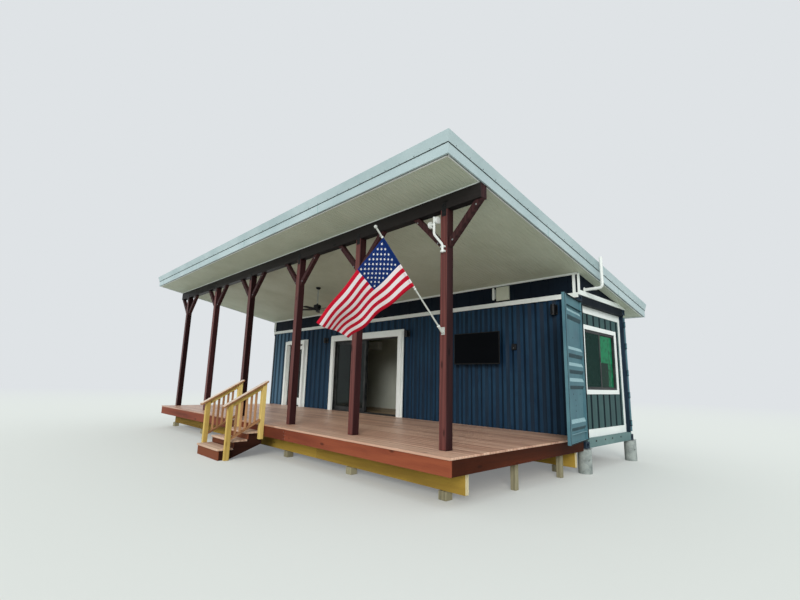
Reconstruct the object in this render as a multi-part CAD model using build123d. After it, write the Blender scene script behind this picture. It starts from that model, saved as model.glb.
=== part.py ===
"""A forty-foot container made into a cabin, with a roofed porch along its long side.

Working frame, in millimetres: x = 0 is the door end of the container and the far end lies
at -x; y = 0 is the long wall that faces the porch, with the porch at -y and the back of the
container at +y; z = 0 is the level ground under the piers. Each node is moved by one common
shift when it is written, so that the origin is the middle of the whole cabin on the ground.
"""
from build123d import *
import math
import os

# Container shell
CONTAINER_LENGTH = 12192.0
CONTAINER_WIDTH = 2438.0
CONTAINER_HEIGHT = 2896.0
CASTING_LENGTH = 178.0
CASTING_WIDTH = 162.0
CASTING_HEIGHT = 118.0
CASTING_HOLE_LENGTH = 114.0
CASTING_HOLE_WIDTH = 60.0
CASTING_WALL = 28.0
POST_WIDTH = 108.0
POST_FLANGE = 35.0
POST_FLANGE_SETBACK = 44.0
POST_CHANNEL_SETBACK = 95.0
TOP_RAIL = 60.0
BOTTOM_RAIL_HEIGHT = 158.0
BOTTOM_RAIL_FLANGE = 50.0
RAIL_WALL = 6.0
HEADER_HEIGHT = 160.0
SILL_HOLES = (470.0, 905.0, 1264.0, 1717.0)
SILL_HOLE_Z = 104.0
SILL_HOLE_WIDTH = 64.0
SILL_HOLE_HEIGHT = 34.0
SILL_HOLE_DEPTH = 30.0
MEMBER_PITCH = 610.0
MEMBER_HEIGHT = 122.0
MEMBER_WIDTH = 45.0
FLOOR_THICKNESS = 42.0

# Corrugated sheet
SHEET = 2.0
WALL_INSET = 4.0
RIB_PITCH = 278.0
RIB_OUTER_FLAT = 72.0
RIB_SLOPE = 68.0
RIB_DEPTH = 34.0
ROOF_RIB_PITCH = 418.0
ROOF_RIB_FLAT = 150.0
ROOF_RIB_SLOPE = 59.0
ROOF_RIB_DEPTH = 18.0

# Insulated lining
LINING_GAP = 2.0
LINING_FACE = 150.0
CEILING_THICKNESS = 72.0
CEILING_CLEARANCE = 6.0

# Piers
PIER_HEIGHT = 442.0
PIER_RADIUS = 123.0
PIER_CHAMFER = 12.0
PIER_INSET = 60.0
PIER_ROWS = 3

# Porch deck
DECK_TOP = 642.0
DECK_SHORTFALL = 392.0
DECK_LENGTH = CONTAINER_LENGTH - DECK_SHORTFALL
DECK_END_GAP = 10.0
DECK_DEPTH = 3870.0
DECK_WALL_GAP = 6.0
DECK_BOARD = 32.0
DECK_OVERHANG = 12.0
RIM_HEIGHT = 236.0
PLANK = 38.0
JOIST_HEIGHT = 184.0
JOIST_PITCH = 406.0
GIRDER_HEIGHT = 286.0
GIRDER_WIDTH = 76.0
GIRDER_END_INSET = 90.0
BACK_GIRDER_OFFSET = 220.0
STUB = 140.0
END_STUB = 89.0
END_STUB_INSET = 120.0
END_STUB_SHARES = (0.556, 0.18)

# Porch posts, beam and braces
POST = 140.0
POST_SETBACK = 450.0
POST_NEAR = 470.0
POST_FAR_GAP = 482.0
POST_SHARES = (0.0, 0.185943, 0.372776, 0.58452, 0.788256, 1.0)
POST_PLACES = tuple(round(POST_NEAR + share * (CONTAINER_LENGTH - POST_FAR_GAP - POST_NEAR))
                    for share in POST_SHARES)
BEAM_DEPTH = 235.0
BEAM_NEAR_REACH = 215.0
BEAM_FAR_REACH = 178.0
BRACE = 89.0
BRACE_LEG = 610.0

# Roof
ROOF_SLOPE = 0.178
ROOF_CLEARANCE = 12.0
EAVE_FRONT = 4220.0
EAVE_BACK = 592.0
RAKE_NEAR = 215.0
RAKE_FAR = 178.0
SOFFIT = 12.0
RAFTER_DEPTH = 184.0
RAFTER_PITCH = 610.0
FASCIA_THICKNESS = 25.0
FASCIA_DROP = 8.0
FASCIA_BAND = 150.0
ROOF_TRIM_BAND = 141.0
ROOF_TRIM_FLARE = 50.0
ROOF_TRIM_LEDGE = 12.0
PANEL_RISE = 258.0
PANEL_SHEET = 4.0
PANEL_RIB_PITCH = 305.0
PANEL_RIB_TOP = 26.0
PANEL_RIB_FOOT = 66.0
PANEL_RIB_HEIGHT = 19.0
GUTTER_WIDTH = 112.0
GUTTER_HEIGHT = 110.0
GUTTER_SHEET = 4.0

# Knee wall above the container
KNEE_THICKNESS = 60.0
GABLE_THICKNESS = 40.0
WHITE_BOARD = 19.0
KNEE_BOARD_HEIGHT = 96.0
KNEE_TOP_BOARD = 40.0
CORNER_BOARD = 100.0
CORNER_REVEAL = 45.0
KNEE_GROOVE_PITCH = 406.0
KNEE_GROOVE_WIDTH = 12.0
KNEE_GROOVE_DEPTH = 7.0

# Door end wall and its window
END_WALL_SETBACK = 115.0
END_WALL_THICKNESS = 90.0
GROOVE_PITCH = 308.0
GROOVE_WIDTH = 42.0
GROOVE_FOOT = 26.0
GROOVE_DEPTH = 12.0
GROOVE_START = 175.0
END_BOARD = 15.0
END_BASE_BOARD = 150.0
END_SIDE_BOARD = 70.0
END_HEAD_BOARD = 140.0
WINDOW_LEFT = 430.0
WINDOW_WIDTH = 1550.0
WINDOW_SILL = 1505.0
WINDOW_HEIGHT = 1205.0
WINDOW_TRIM = 88.0
WINDOW_FRAME = 45.0
WINDOW_SASH = 38.0
WINDOW_STILE = 50.0
GLASS = 6.0

# Entry door
ENTRY_FAR_GAP = 1302.0
ENTRY_FAR = CONTAINER_LENGTH - ENTRY_FAR_GAP
ENTRY_WIDTH = 1050.0
ENTRY_HEIGHT = 2158.0
ENTRY_BOX_WIDTH = 112.0
ENTRY_BOX_DEPTH = 140.0
CASING_WIDTH = 38.0
CASING_DEPTH = 22.0
JAMB = 32.0
DOOR_CLEARANCE = 8.0
ENTRY_LEAF = 45.0
ENTRY_LEAF_FACE = 62.0
ENTRY_STILE = 130.0
ENTRY_BOTTOM_RAIL = 240.0
LEVER_HEIGHT = 1000.0
BUTT_SHARES = (0.1, 0.5, 0.9)
BUTT_HEIGHT = 105.0
BUTT_RADIUS = 4.5
BUTT_PIN = 2.5
BUTT_GAP = 0.5
BUTT_OUT = 6.0
BUTT_BACK = 3.2
BUTT_PLATE = 4.0
BUTT_PLATE_WIDTH = 36.0

# Patio door
PATIO_FAR = 8060.0
PATIO_WIDTH = 3010.0
PATIO_BOX_WIDTH = 150.0
PATIO_BOX_DEPTH = 60.0
PANEL_THICKNESS = 34.0
FIXED_PANEL_FACE = 52.0
PANEL_TRACK_GAP = 8.0
PANEL_STILE = 72.0
PANEL_BOTTOM_RAIL = 95.0
PANEL_OVERLAP = 60.0
TRACK_RIB_HEIGHT = 5.0
TRACK_RIB_WIDTH = 6.0
ROLLER_RADIUS = 12.0
ROLLER_WIDTH = 12.0
ROLLER_INSET = 160.0
RUNNING_GAP = 0.5

# Cargo doors
LEAF_EDGE_GAP = 44.0
LEAF_MEETING_GAP = 16.0
LEAF_SILL_GAP = 12.0
LEAF_OUTER = 36.0
LEAF_THICKNESS = 52.0
LEAF_FRAME = 100.0
LEAF_TOP_RAIL = 190.0
LEAF_BOTTOM_RAIL = 158.0
LEAF_LIP = 10.0
LEAF_POCKET = 34.0
LEAF_SHEET = 4.0
LEAF_SHEET_SETBACK = 8.0
LEAF_RIBS = (2830.0, 2155.0, 1876.0, 1608.0, 911.0)
LEAF_RIB_HEIGHT = 196.0
LEAF_RIB_FLAT = 70.0
LEAF_RIB_HINGE_END = 52.0
LEAF_RIB_FREE_END = 10.0
HINGE_INSET = 12.0
KNUCKLE_RADIUS = 14.0
KNUCKLE_HEIGHT = 90.0
PIN_RADIUS = 6.0
PIN_FIT = 0.3
HINGE_BLADE = 12.0
HINGE_BLADE_REACH = 150.0
LUG_HEIGHT = 16.0
LUG_GAP = 1.0
HINGE_HEIGHTS = (790.0, 1400.0, 1890.0, 2500.0, 3000.0)
LOCK_BAR_RADIUS = 14.0
LOCK_BAR_CENTRE = 20.0
LOCK_BAR_PLACES = (300.0, 980.0)
LOCK_HANDLE = 300.0
LOCK_HANDLE_HEIGHT = 760.0
GUIDE_INSET = 90.0
GUIDE_SPACING = 700.0
FRONT_LEAF_ANGLE = 170.3
BACK_LEAF_ANGLE = 262.0

# Stair
STAIR_NEAR = 4950.0
STAIR_FAR = 6100.0
STAIR_RISE = 143.0
STAIR_RUN = 283.0
STAIR_TREADS = 3
TREAD_NOSING = 25.0
RISER_BOARD = 19.0
NEWEL = 89.0
LOWER_NEWEL_OUT = 730.0
UPPER_NEWEL_FOOT = 350.0
CAP_LOW_OUT = 870.0
CAP_LOW_HEIGHT = 1015.0
CAP_HIGH_HEIGHT = 1520.0
CAP_WIDTH = 140.0
RAIL_DROP = 710.0
RAIL_DEPTH = 89.0
BALUSTER = 38.0
BALUSTER_COUNT = 5

# Ceiling fan
FAN_X = 6543.0
FAN_Y = 1739.0
FAN_CANOPY_RADIUS = 70.0
FAN_CANOPY_HEIGHT = 60.0
FAN_ROD_RADIUS = 13.0
FAN_ROD_LENGTH = 430.0
FAN_MOTOR_RADIUS = 105.0
FAN_MOTOR_HEIGHT = 110.0
FAN_HUB_GAP = 6.0
FAN_HUB_HEIGHT = 34.0
FAN_SHAFT_RADIUS = 11.0
FAN_CAP_RADIUS = 30.0
FAN_CAP_HEIGHT = 14.0
FAN_BLADES = 5
FAN_REACH = 560.0
FAN_BLADE_WIDTH = 120.0
FAN_BLADE_THICKNESS = 8.0
FAN_BLADE_PITCH = 12.0

# Fittings on the walls and posts
LAMP_WIDTH = 120.0
# The far lamp keeps its share of the free wall between the two doorways' trims.
FAR_LAMP_SHARE = 0.17525
BETWEEN_DOORWAYS = ENTRY_FAR - ENTRY_WIDTH - ENTRY_BOX_WIDTH - PATIO_FAR - PATIO_BOX_WIDTH
FAR_LAMP = round(PATIO_FAR + PATIO_BOX_WIDTH + LAMP_WIDTH / 2 + FAR_LAMP_SHARE * (BETWEEN_DOORWAYS - LAMP_WIDTH))
LAMP_PLACES = ((FAR_LAMP, 2770.0, 170.0), (4692.0, 2762.0, 172.0), (495.0, 2975.0, 205.0))
LAMP_REACH = 140.0
LAMP_BOSS = 50.0
SCREEN_FAR = 2995.0
SCREEN_WIDTH = 1265.0
SCREEN_BOTTOM = 2000.0
SCREEN_HEIGHT = 718.0
SCREEN_THICKNESS = 60.0
SCREEN_STANDOFF = 90.0
AIR_UNIT_FAR = 9180.0
AIR_UNIT_WIDTH = 820.0
AIR_UNIT_DROP = 110.0
AIR_UNIT_HEIGHT = 295.0
AIR_UNIT_DEPTH = 200.0
CREAM_BOX = (1864.0, 332.0, 3412.0, 310.0, 50.0)
OUTLET_BOX = (1500.0, 110.0, 2300.0, 130.0, 45.0)
SENSOR_BOX = (1965.0, 62.0, 3440.0, 280.0, 70.0)
VENT_Y = 300.0
VENT_Z = 3475.0
VENT_RADIUS = 30.0
VENT_BEND = 75.0
VENT_X = 350.0
VENT_TOP = 4092.0
ARM_RADIUS = 20.0
ARM_OFFSET = 170.0
ARM_FOOT_Z = 3480.0
ARM_KNEE_Z = 3600.0
ARM_BEND_Z = 3800.0
ARM_TOP_Z = 4080.0
ARM_STANDOFF = 32.0
DISC_RADIUS = 55.0
DISC_THICKNESS = 30.0
DISC_REACH = 55.0
POLE_RADIUS = 12.0
POLE_LENGTH = 1790.0
POLE_ANGLE = 43.0
POLE_BASE_Z = 2300.0
BRACKET_HEIGHT = 110.0
BRACKET_WIDTH = 60.0
FLAG_HOIST = 800.0
FLAG_FLY = 1460.0
FLAG_TOP_MARGIN = 175.0
FLAG_THICKNESS = 3.0
FLAG_FLY_DIRECTION = (-1060.0, -250.0, -940.0)
FLAG_WAVE = 26.0
FLAG_WAVES = 2
FLAG_STATIONS = 16

# Worked-out places
BASE_Z = PIER_HEIGHT
TOP_Z = BASE_Z + CONTAINER_HEIGHT
SILL_TOP = BASE_Z + BOTTOM_RAIL_HEIGHT
HEADER_BOTTOM = TOP_Z - HEADER_HEIGHT
FLOOR_TOP = SILL_TOP + FLOOR_THICKNESS
CEILING_Z = HEADER_BOTTOM - CEILING_CLEARANCE - CEILING_THICKNESS
WALL_INNER = WALL_INSET + RIB_DEPTH + SHEET
CEILING_AT_WALL = TOP_Z + ROOF_CLEARANCE + ROOF_SLOPE * CONTAINER_WIDTH
LINING_BACK = WALL_INNER + LINING_GAP
END_WALL_INNER = END_WALL_SETBACK + END_WALL_THICKNESS
DOOR_HEAD = FLOOR_TOP + ENTRY_HEIGHT
POST_LINE = DECK_DEPTH - POST_SETBACK
POST_FRONT = POST_LINE + POST / 2
BEAM_TOP = CEILING_AT_WALL + ROOF_SLOPE * POST_FRONT
BEAM_BOTTOM = BEAM_TOP - BEAM_DEPTH
EAVE_BACK_Y = CONTAINER_WIDTH + EAVE_BACK
FAR_X = -CONTAINER_LENGTH
ROOF_X0 = FAR_X - RAKE_FAR
ROOF_X1 = RAKE_NEAR
DECK_X1 = -DECK_END_GAP
DECK_X0 = DECK_X1 - DECK_LENGTH
DECK_BASE = DECK_TOP - DECK_BOARD
RIM_BOTTOM = DECK_TOP - RIM_HEIGHT
DECK_BACK = max(DECK_WALL_GAP, PIER_RADIUS - PIER_INSET + 8)
LEAF_WIDTH = (CONTAINER_WIDTH - 2 * LEAF_EDGE_GAP - LEAF_MEETING_GAP) / 2
LEAF_Z0 = SILL_TOP + LEAF_SILL_GAP
LEAF_Z1 = HEADER_BOTTOM - LEAF_SILL_GAP


def block(x0, x1, y0, y1, z0, z1):
    """A box between two corners, given in any order."""
    size = (abs(x1 - x0), abs(y1 - y0), abs(z1 - z0))
    return Pos((x0 + x1) / 2, (y0 + y1) / 2, (z0 + z1) / 2) * Box(*size)


def prism_x(points, x0, x1):
    """Extrude an outline of (y, z) points from x0 to x1."""
    face = make_face(Polyline(*[(x0, y, z) for y, z in points], close=True))
    return Solid.extrude(face.face(), Vector(x1 - x0, 0, 0))


def prism_y(points, y0, y1):
    """Extrude an outline of (x, z) points from y0 to y1."""
    face = make_face(Polyline(*[(x, y0, z) for x, z in points], close=True))
    return Solid.extrude(face.face(), Vector(0, y1 - y0, 0))


def prism_z(points, z0, z1):
    """Extrude an outline of (x, y) points from z0 to z1."""
    face = make_face(Polyline(*[(x, y, z0) for x, y in points], close=True))
    return Solid.extrude(face.face(), Vector(0, 0, z1 - z0))


def rod(start, end, radius):
    """A round bar between two points."""
    path = Vector(*end) - Vector(*start)
    plane = Plane(origin=start, z_dir=path)
    return extrude(plane * Circle(radius), path.length)


def ceiling_z(y):
    """Height of the sloping soffit's underside above a place across the cabin."""
    return CEILING_AT_WALL - ROOF_SLOPE * y


def sloped(x0, x1, y0, y1, low, high):
    """A slab that follows the roof, between two heights above the soffit's underside."""
    outline = [(y0, ceiling_z(y0) + low), (y1, ceiling_z(y1) + low),
               (y1, ceiling_z(y1) + high), (y0, ceiling_z(y0) + high)]
    return prism_x(outline, x0, x1)


def corrugation(start, end, pitch, flat, slope, depth):
    """(distance, depth) points of a trapezoidal corrugation between two distances."""
    corners = [(0, 0), (flat, 0), (flat + slope, depth), (pitch - slope, depth), (pitch, 0)]

    def depth_at(s):
        local = s % pitch
        for (a, da), (b, db) in zip(corners, corners[1:]):
            if local <= b:
                return da + (db - da) * (local - a) / (b - a)
        return 0.0

    points = [(start, depth_at(start))]
    first = math.floor(start / pitch)
    for turn in range(first, math.ceil(end / pitch) + 1):
        for place, deep in corners[:-1]:
            s = turn * pitch + place
            if start + 1 < s < end - 1:
                points.append((s, deep))
    points.append((end, depth_at(end)))
    return points


def sheet_depth(place):
    """Depth of the porch wall's inner flats at a place along it, or 0 off them."""
    local = place % RIB_PITCH
    start = RIB_OUTER_FLAT + RIB_SLOPE
    half = LAMP_BOSS / 2
    return RIB_DEPTH if start + half < local < RIB_PITCH - RIB_SLOPE - half else 0.0


def long_wall(far, near, z0, z1, outer_y, inward):
    """Corrugated sheet along x between two distances from the door end."""
    line = corrugation(near, far, RIB_PITCH, RIB_OUTER_FLAT, RIB_SLOPE, RIB_DEPTH)
    outer = [(-s, outer_y + inward * d) for s, d in line]
    inner = [(x, y + inward * SHEET) for x, y in outer]
    return prism_z(outer + inner[::-1], z0, z1)


def cross_wall(y0, y1, z0, z1, outer_x, inward):
    """Corrugated sheet across the container, for its closed end."""
    line = corrugation(y0, y1, RIB_PITCH, RIB_OUTER_FLAT, RIB_SLOPE, RIB_DEPTH)
    outer = [(outer_x + inward * d, s) for s, d in line]
    inner = [(x + inward * SHEET, y) for x, y in outer]
    return prism_z(outer + inner[::-1], z0, z1)


def ring(far, near, z0, z1, width, y0, y1, threshold=0.0):
    """A frame of three or four sides round a doorway, standing on z0."""
    outer = block(-far - width, -near + width, y0, y1, z0, z1 + width)
    return outer - block(-far, -near, y0 - 1, y1 + 1, z0 - 1 if threshold == 0 else z0 + threshold, z1)


def concrete_piers():
    """Round piers under both long rails."""
    span = CONTAINER_LENGTH - 2 * PIER_INSET
    piers = []
    for row in range(PIER_ROWS):
        x = -PIER_INSET - span * row / (PIER_ROWS - 1)
        for y in (PIER_INSET, CONTAINER_WIDTH - PIER_INSET):
            pier = Pos(x, y, PIER_HEIGHT / 2) * Cylinder(PIER_RADIUS, PIER_HEIGHT)
            top = pier.edges().filter_by(GeomType.CIRCLE).sort_by(Axis.Z)[-1]
            piers.append(chamfer(top, PIER_CHAMFER))
    return piers


def casting(x, y, z, x_side, y_side, z_side):
    """One corner casting with the oval lifting pockets in its three outer faces."""
    body = block(x, x - x_side * CASTING_LENGTH, y, y - y_side * CASTING_WIDTH,
                 z, z - z_side * CASTING_HEIGHT)
    cx = x - x_side * CASTING_LENGTH / 2
    cy = y - y_side * CASTING_WIDTH / 2
    cz = z - z_side * CASTING_HEIGHT / 2
    slot = SlotOverall(CASTING_HOLE_LENGTH, CASTING_HOLE_WIDTH)
    upright = Rot(0, 0, 90) * SlotOverall(CASTING_HOLE_LENGTH * 0.8, CASTING_HOLE_WIDTH)
    pocket = CASTING_WALL
    body -= extrude(Plane(origin=(cx, y, cz), x_dir=(1, 0, 0), z_dir=(0, -y_side, 0)) * slot, pocket)
    body -= extrude(Plane(origin=(cx, cy, z), x_dir=(1, 0, 0), z_dir=(0, 0, -z_side)) * slot, pocket)
    body -= extrude(Plane(origin=(x, cy, cz), x_dir=(0, 0, 1), z_dir=(-x_side, 0, 0)) * upright, pocket)
    return body


def corner_posts():
    """Four corner posts, each with its castings; the door end's posts carry hinge lugs."""
    posts = []
    for x, x_side in ((0.0, 1), (FAR_X, -1)):
        for y, y_side in ((0.0, -1), (CONTAINER_WIDTH, 1)):
            z0 = BASE_Z + CASTING_HEIGHT
            z1 = TOP_Z - CASTING_HEIGHT
            back = x - x_side * CASTING_LENGTH
            flange = block(x - x_side * POST_FLANGE_SETBACK, back, y, y - y_side * POST_FLANGE, z0, z1)
            channel = block(x - x_side * POST_CHANNEL_SETBACK, back,
                            y - y_side * POST_FLANGE, y - y_side * POST_WIDTH, z0, z1)
            post = flange + channel
            post += casting(x, y, BASE_Z, x_side, y_side, -1)
            post += casting(x, y, TOP_Z, x_side, y_side, 1)
            if x_side == 1:
                for z in HINGE_HEIGHTS:
                    for low in (z - KNUCKLE_HEIGHT / 2 - LUG_GAP - LUG_HEIGHT,
                                z + KNUCKLE_HEIGHT / 2 + LUG_GAP):
                        post += block(-POST_FLANGE_SETBACK, 0, y, y - y_side * 2 * HINGE_INSET,
                                      low, low + LUG_HEIGHT)
                    pin = Cylinder(PIN_RADIUS, KNUCKLE_HEIGHT + 2 * LUG_GAP + LUG_HEIGHT)
                    post += Pos(-HINGE_INSET, y - y_side * HINGE_INSET, z) * pin
            posts.append(post)
    return posts


def channel_rail(y, inward, z0, z1):
    """Bottom side rail: a channel that opens towards the middle of the container."""
    flange = BOTTOM_RAIL_FLANGE * inward
    wall = RAIL_WALL * inward
    outline = [(y, z0), (y + flange, z0), (y + flange, z0 + RAIL_WALL), (y + wall, z0 + RAIL_WALL),
               (y + wall, z1 - RAIL_WALL), (y + flange, z1 - RAIL_WALL), (y + flange, z1), (y, z1)]
    return prism_x(outline, FAR_X + CASTING_LENGTH, -CASTING_LENGTH)


def side_rails():
    """Top and bottom rails along both sides."""
    rails = []
    for y, inward in ((0.0, 1), (CONTAINER_WIDTH, -1)):
        rails.append(block(FAR_X + CASTING_LENGTH, -CASTING_LENGTH, y, y + inward * TOP_RAIL,
                           TOP_Z - TOP_RAIL, TOP_Z))
        rails.append(channel_rail(y, inward, BASE_Z, SILL_TOP))
    return rails


def end_frames():
    """Header and sill across each end, between the posts and castings."""
    frames = []
    inner = POST_WIDTH
    for x, x_side in ((0.0, 1), (FAR_X, -1)):
        back = x - x_side * CASTING_LENGTH
        header = block(x, back, inner, CONTAINER_WIDTH - inner, HEADER_BOTTOM, TOP_Z)
        sill = block(x, back, inner, CONTAINER_WIDTH - inner, BASE_Z, SILL_TOP)
        for y0, y1 in ((0, CASTING_WIDTH), (CONTAINER_WIDTH - CASTING_WIDTH, CONTAINER_WIDTH)):
            header -= block(x, back, y0, y1, TOP_Z - CASTING_HEIGHT, TOP_Z)
            sill -= block(x, back, y0, y1, BASE_Z, BASE_Z + CASTING_HEIGHT)
        if x == 0.0:
            for y in SILL_HOLES:
                slot = Plane(origin=(1, y, BASE_Z + SILL_HOLE_Z), x_dir=(0, 1, 0), z_dir=(-1, 0, 0))
                sill -= extrude(slot * SlotOverall(SILL_HOLE_WIDTH, SILL_HOLE_HEIGHT), SILL_HOLE_DEPTH)
        frames += [header, sill]
    return frames


def cross_members():
    """Floor joists of the container, between its bottom rails."""
    members = []
    clear = CONTAINER_LENGTH - 2 * CASTING_LENGTH
    count = int(clear // MEMBER_PITCH)
    for k in range(count):
        x = -CASTING_LENGTH - clear * (k + 0.5) / count
        members.append(block(x, x + MEMBER_WIDTH, RAIL_WALL, CONTAINER_WIDTH - RAIL_WALL,
                             SILL_TOP - RAIL_WALL - MEMBER_HEIGHT, SILL_TOP - RAIL_WALL))
    return members


def post_clearances(z0, z1):
    """Blocks that stand for the four corner posts, a little larger, to cut linings round them."""
    grow = LINING_GAP
    blocks = []
    for x, x_side in ((0.0, 1), (FAR_X, -1)):
        for y, y_side in ((0.0, -1), (CONTAINER_WIDTH, 1)):
            blocks.append(block(x, x - x_side * (CASTING_LENGTH + grow),
                                y, y - y_side * (POST_WIDTH + grow), z0 - 1, z1 + 1))
    return blocks


def container_floor():
    """Plywood floor and its finish on the cross members."""
    floor = block(FAR_X + LINING_BACK, -END_WALL_INNER - LINING_GAP,
                  LINING_BACK, CONTAINER_WIDTH - LINING_BACK, SILL_TOP, FLOOR_TOP)
    return floor - post_clearances(SILL_TOP, FLOOR_TOP)


def doorways():
    """(far, near) edges of the two doorways in the porch wall, frames included."""
    return ((ENTRY_FAR + 0.0, ENTRY_FAR - ENTRY_WIDTH), (PATIO_FAR + 0.0, PATIO_FAR - PATIO_WIDTH))


def wall_bays():
    """(far, near) stretches of the porch wall beside the doorways."""
    (entry_far, entry_near), (patio_far, patio_near) = doorways()
    far_end = CONTAINER_LENGTH - CASTING_LENGTH
    return ((far_end, entry_far), (entry_near, patio_far), (patio_near, CASTING_LENGTH))


def front_wall():
    """Corrugated porch wall: three bays beside the doorways and a head over each."""
    top = TOP_Z - TOP_RAIL
    bays = [long_wall(far, near, SILL_TOP, top, WALL_INSET, 1) for far, near in wall_bays()]
    heads = [long_wall(far - LINING_GAP, near + LINING_GAP, DOOR_HEAD, top, WALL_INSET, 1)
             for far, near in doorways()]
    return bays + heads


def back_wall():
    """Corrugated back wall in one length."""
    return long_wall(CONTAINER_LENGTH - CASTING_LENGTH, CASTING_LENGTH, SILL_TOP, TOP_Z - TOP_RAIL,
                     CONTAINER_WIDTH - WALL_INSET, -1)


def far_end_wall():
    """Corrugated closed end."""
    return cross_wall(POST_WIDTH, CONTAINER_WIDTH - POST_WIDTH, SILL_TOP, HEADER_BOTTOM,
                      FAR_X + WALL_INSET, 1)


def container_roof():
    """Pressed roof sheet between the top rails."""
    line = corrugation(CASTING_LENGTH, CONTAINER_LENGTH - CASTING_LENGTH, ROOF_RIB_PITCH,
                       ROOF_RIB_FLAT, ROOF_RIB_SLOPE, ROOF_RIB_DEPTH)
    top = TOP_Z - WALL_INSET
    upper = [(-s, top - d) for s, d in line]
    lower = [(x, z - SHEET) for x, z in upper]
    return prism_y(upper + lower[::-1], TOP_RAIL, CONTAINER_WIDTH - TOP_RAIL)


def lining():
    """Insulated lining: three bays and two heads in front, the back, the far end and ceiling."""
    gap = LINING_GAP
    x_far = FAR_X + LINING_FACE + gap
    x_near = -END_WALL_INNER - gap
    pieces = []
    (far_a, near_a), (far_b, near_b), (far_c, near_c) = wall_bays()
    for x0, x1 in ((x_far, -near_a), (-far_b, -near_b), (-far_c, x_near)):
        pieces.append(block(x0, x1, LINING_BACK, LINING_FACE, FLOOR_TOP, CEILING_Z))
    for far, near in doorways():
        pieces.append(block(-far + gap, -near - gap, LINING_BACK, LINING_FACE, DOOR_HEAD, CEILING_Z))
    back = CONTAINER_WIDTH - LINING_FACE
    pieces.append(block(x_far, x_near, back, CONTAINER_WIDTH - LINING_BACK, FLOOR_TOP, CEILING_Z))
    far_end = block(FAR_X + LINING_BACK, FAR_X + LINING_FACE, LINING_BACK,
                    CONTAINER_WIDTH - LINING_BACK, FLOOR_TOP, CEILING_Z)
    pieces.append(far_end)
    return [piece - post_clearances(FLOOR_TOP, CEILING_Z) for piece in pieces]


def ceiling_lining():
    """Insulated ceiling over the room."""
    ceiling = block(FAR_X + LINING_BACK, -END_WALL_INNER - LINING_GAP, LINING_BACK,
                    CONTAINER_WIDTH - LINING_BACK, CEILING_Z, CEILING_Z + CEILING_THICKNESS)
    return ceiling - post_clearances(CEILING_Z, CEILING_Z + CEILING_THICKNESS)


def end_wall():
    """Grooved wall set back in the door end, with the window cut through it."""
    y0 = POST_WIDTH
    y1 = CONTAINER_WIDTH - POST_WIDTH
    face = -END_WALL_SETBACK
    outline = [(-END_WALL_INNER, y0), (face, y0)]
    y = y0 + GROOVE_START
    half = GROOVE_WIDTH / 2
    foot = GROOVE_FOOT / 2
    while y + half < y1:
        outline += [(face, y - half), (face - GROOVE_DEPTH, y - foot),
                    (face - GROOVE_DEPTH, y + foot), (face, y + half)]
        y += GROOVE_PITCH
    outline += [(face, y1), (-END_WALL_INNER, y1)]
    wall = prism_z(outline, SILL_TOP, HEADER_BOTTOM)
    return wall - block(face + 1, -END_WALL_INNER - 1, WINDOW_LEFT, WINDOW_LEFT + WINDOW_WIDTH,
                        WINDOW_SILL, WINDOW_SILL + WINDOW_HEIGHT)


def end_trim():
    """White boards round the end wall, and the four-sided trim round its window."""
    y0 = POST_WIDTH
    y1 = CONTAINER_WIDTH - POST_WIDTH
    face = -END_WALL_SETBACK
    front = face + END_BOARD
    border = block(face, front, y0, y1, SILL_TOP, HEADER_BOTTOM)
    border -= block(face - 1, front + 1, y0 + END_SIDE_BOARD, y1 - END_SIDE_BOARD,
                    SILL_TOP + END_BASE_BOARD, HEADER_BOTTOM - END_HEAD_BOARD)
    left = WINDOW_LEFT
    right = left + WINDOW_WIDTH
    sill = WINDOW_SILL
    head = sill + WINDOW_HEIGHT
    trim = block(face, front, left - WINDOW_TRIM, right + WINDOW_TRIM, sill - WINDOW_TRIM, head + WINDOW_TRIM)
    trim -= block(face - 1, front + 1, left, right, sill, head)
    return [border, trim]


def window_frame():
    """Sliding window: outer frame, meeting stile and the two sashes' edges in one frame."""
    left = WINDOW_LEFT
    right = left + WINDOW_WIDTH
    sill = WINDOW_SILL
    head = sill + WINDOW_HEIGHT
    front = -END_WALL_SETBACK - 12
    back = front - 70
    edge = WINDOW_FRAME
    middle = (left + right) / 2
    frame = block(front, back, left, right, sill, head)
    for y0, y1 in ((left + edge, middle - WINDOW_STILE / 2), (middle + WINDOW_STILE / 2, right - edge)):
        frame -= block(front + 1, back - 1, y0, y1, sill + edge, head - edge)
    return frame


def fixed_glass():
    """Window panes and the fixed pane of the patio door."""
    left = WINDOW_LEFT + WINDOW_FRAME
    right = WINDOW_LEFT + WINDOW_WIDTH - WINDOW_FRAME
    middle = (left + right) / 2
    z0 = WINDOW_SILL + WINDOW_FRAME
    z1 = WINDOW_SILL + WINDOW_HEIGHT - WINDOW_FRAME
    x = -END_WALL_SETBACK - 12 - 32
    half = WINDOW_STILE / 2
    panes = [block(x, x - GLASS, left, middle - half, z0, z1),
             block(x, x - GLASS, middle + half, right, z0, z1)]
    x0, x1 = fixed_panel_span()
    y = FIXED_PANEL_FACE + PANEL_THICKNESS / 2
    panes.append(block(x0 + PANEL_STILE, x1 - PANEL_STILE, y - GLASS / 2, y + GLASS / 2,
                       FLOOR_TOP + JAMB + PANEL_BOTTOM_RAIL, DOOR_HEAD - JAMB - PANEL_STILE))
    return panes


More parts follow.
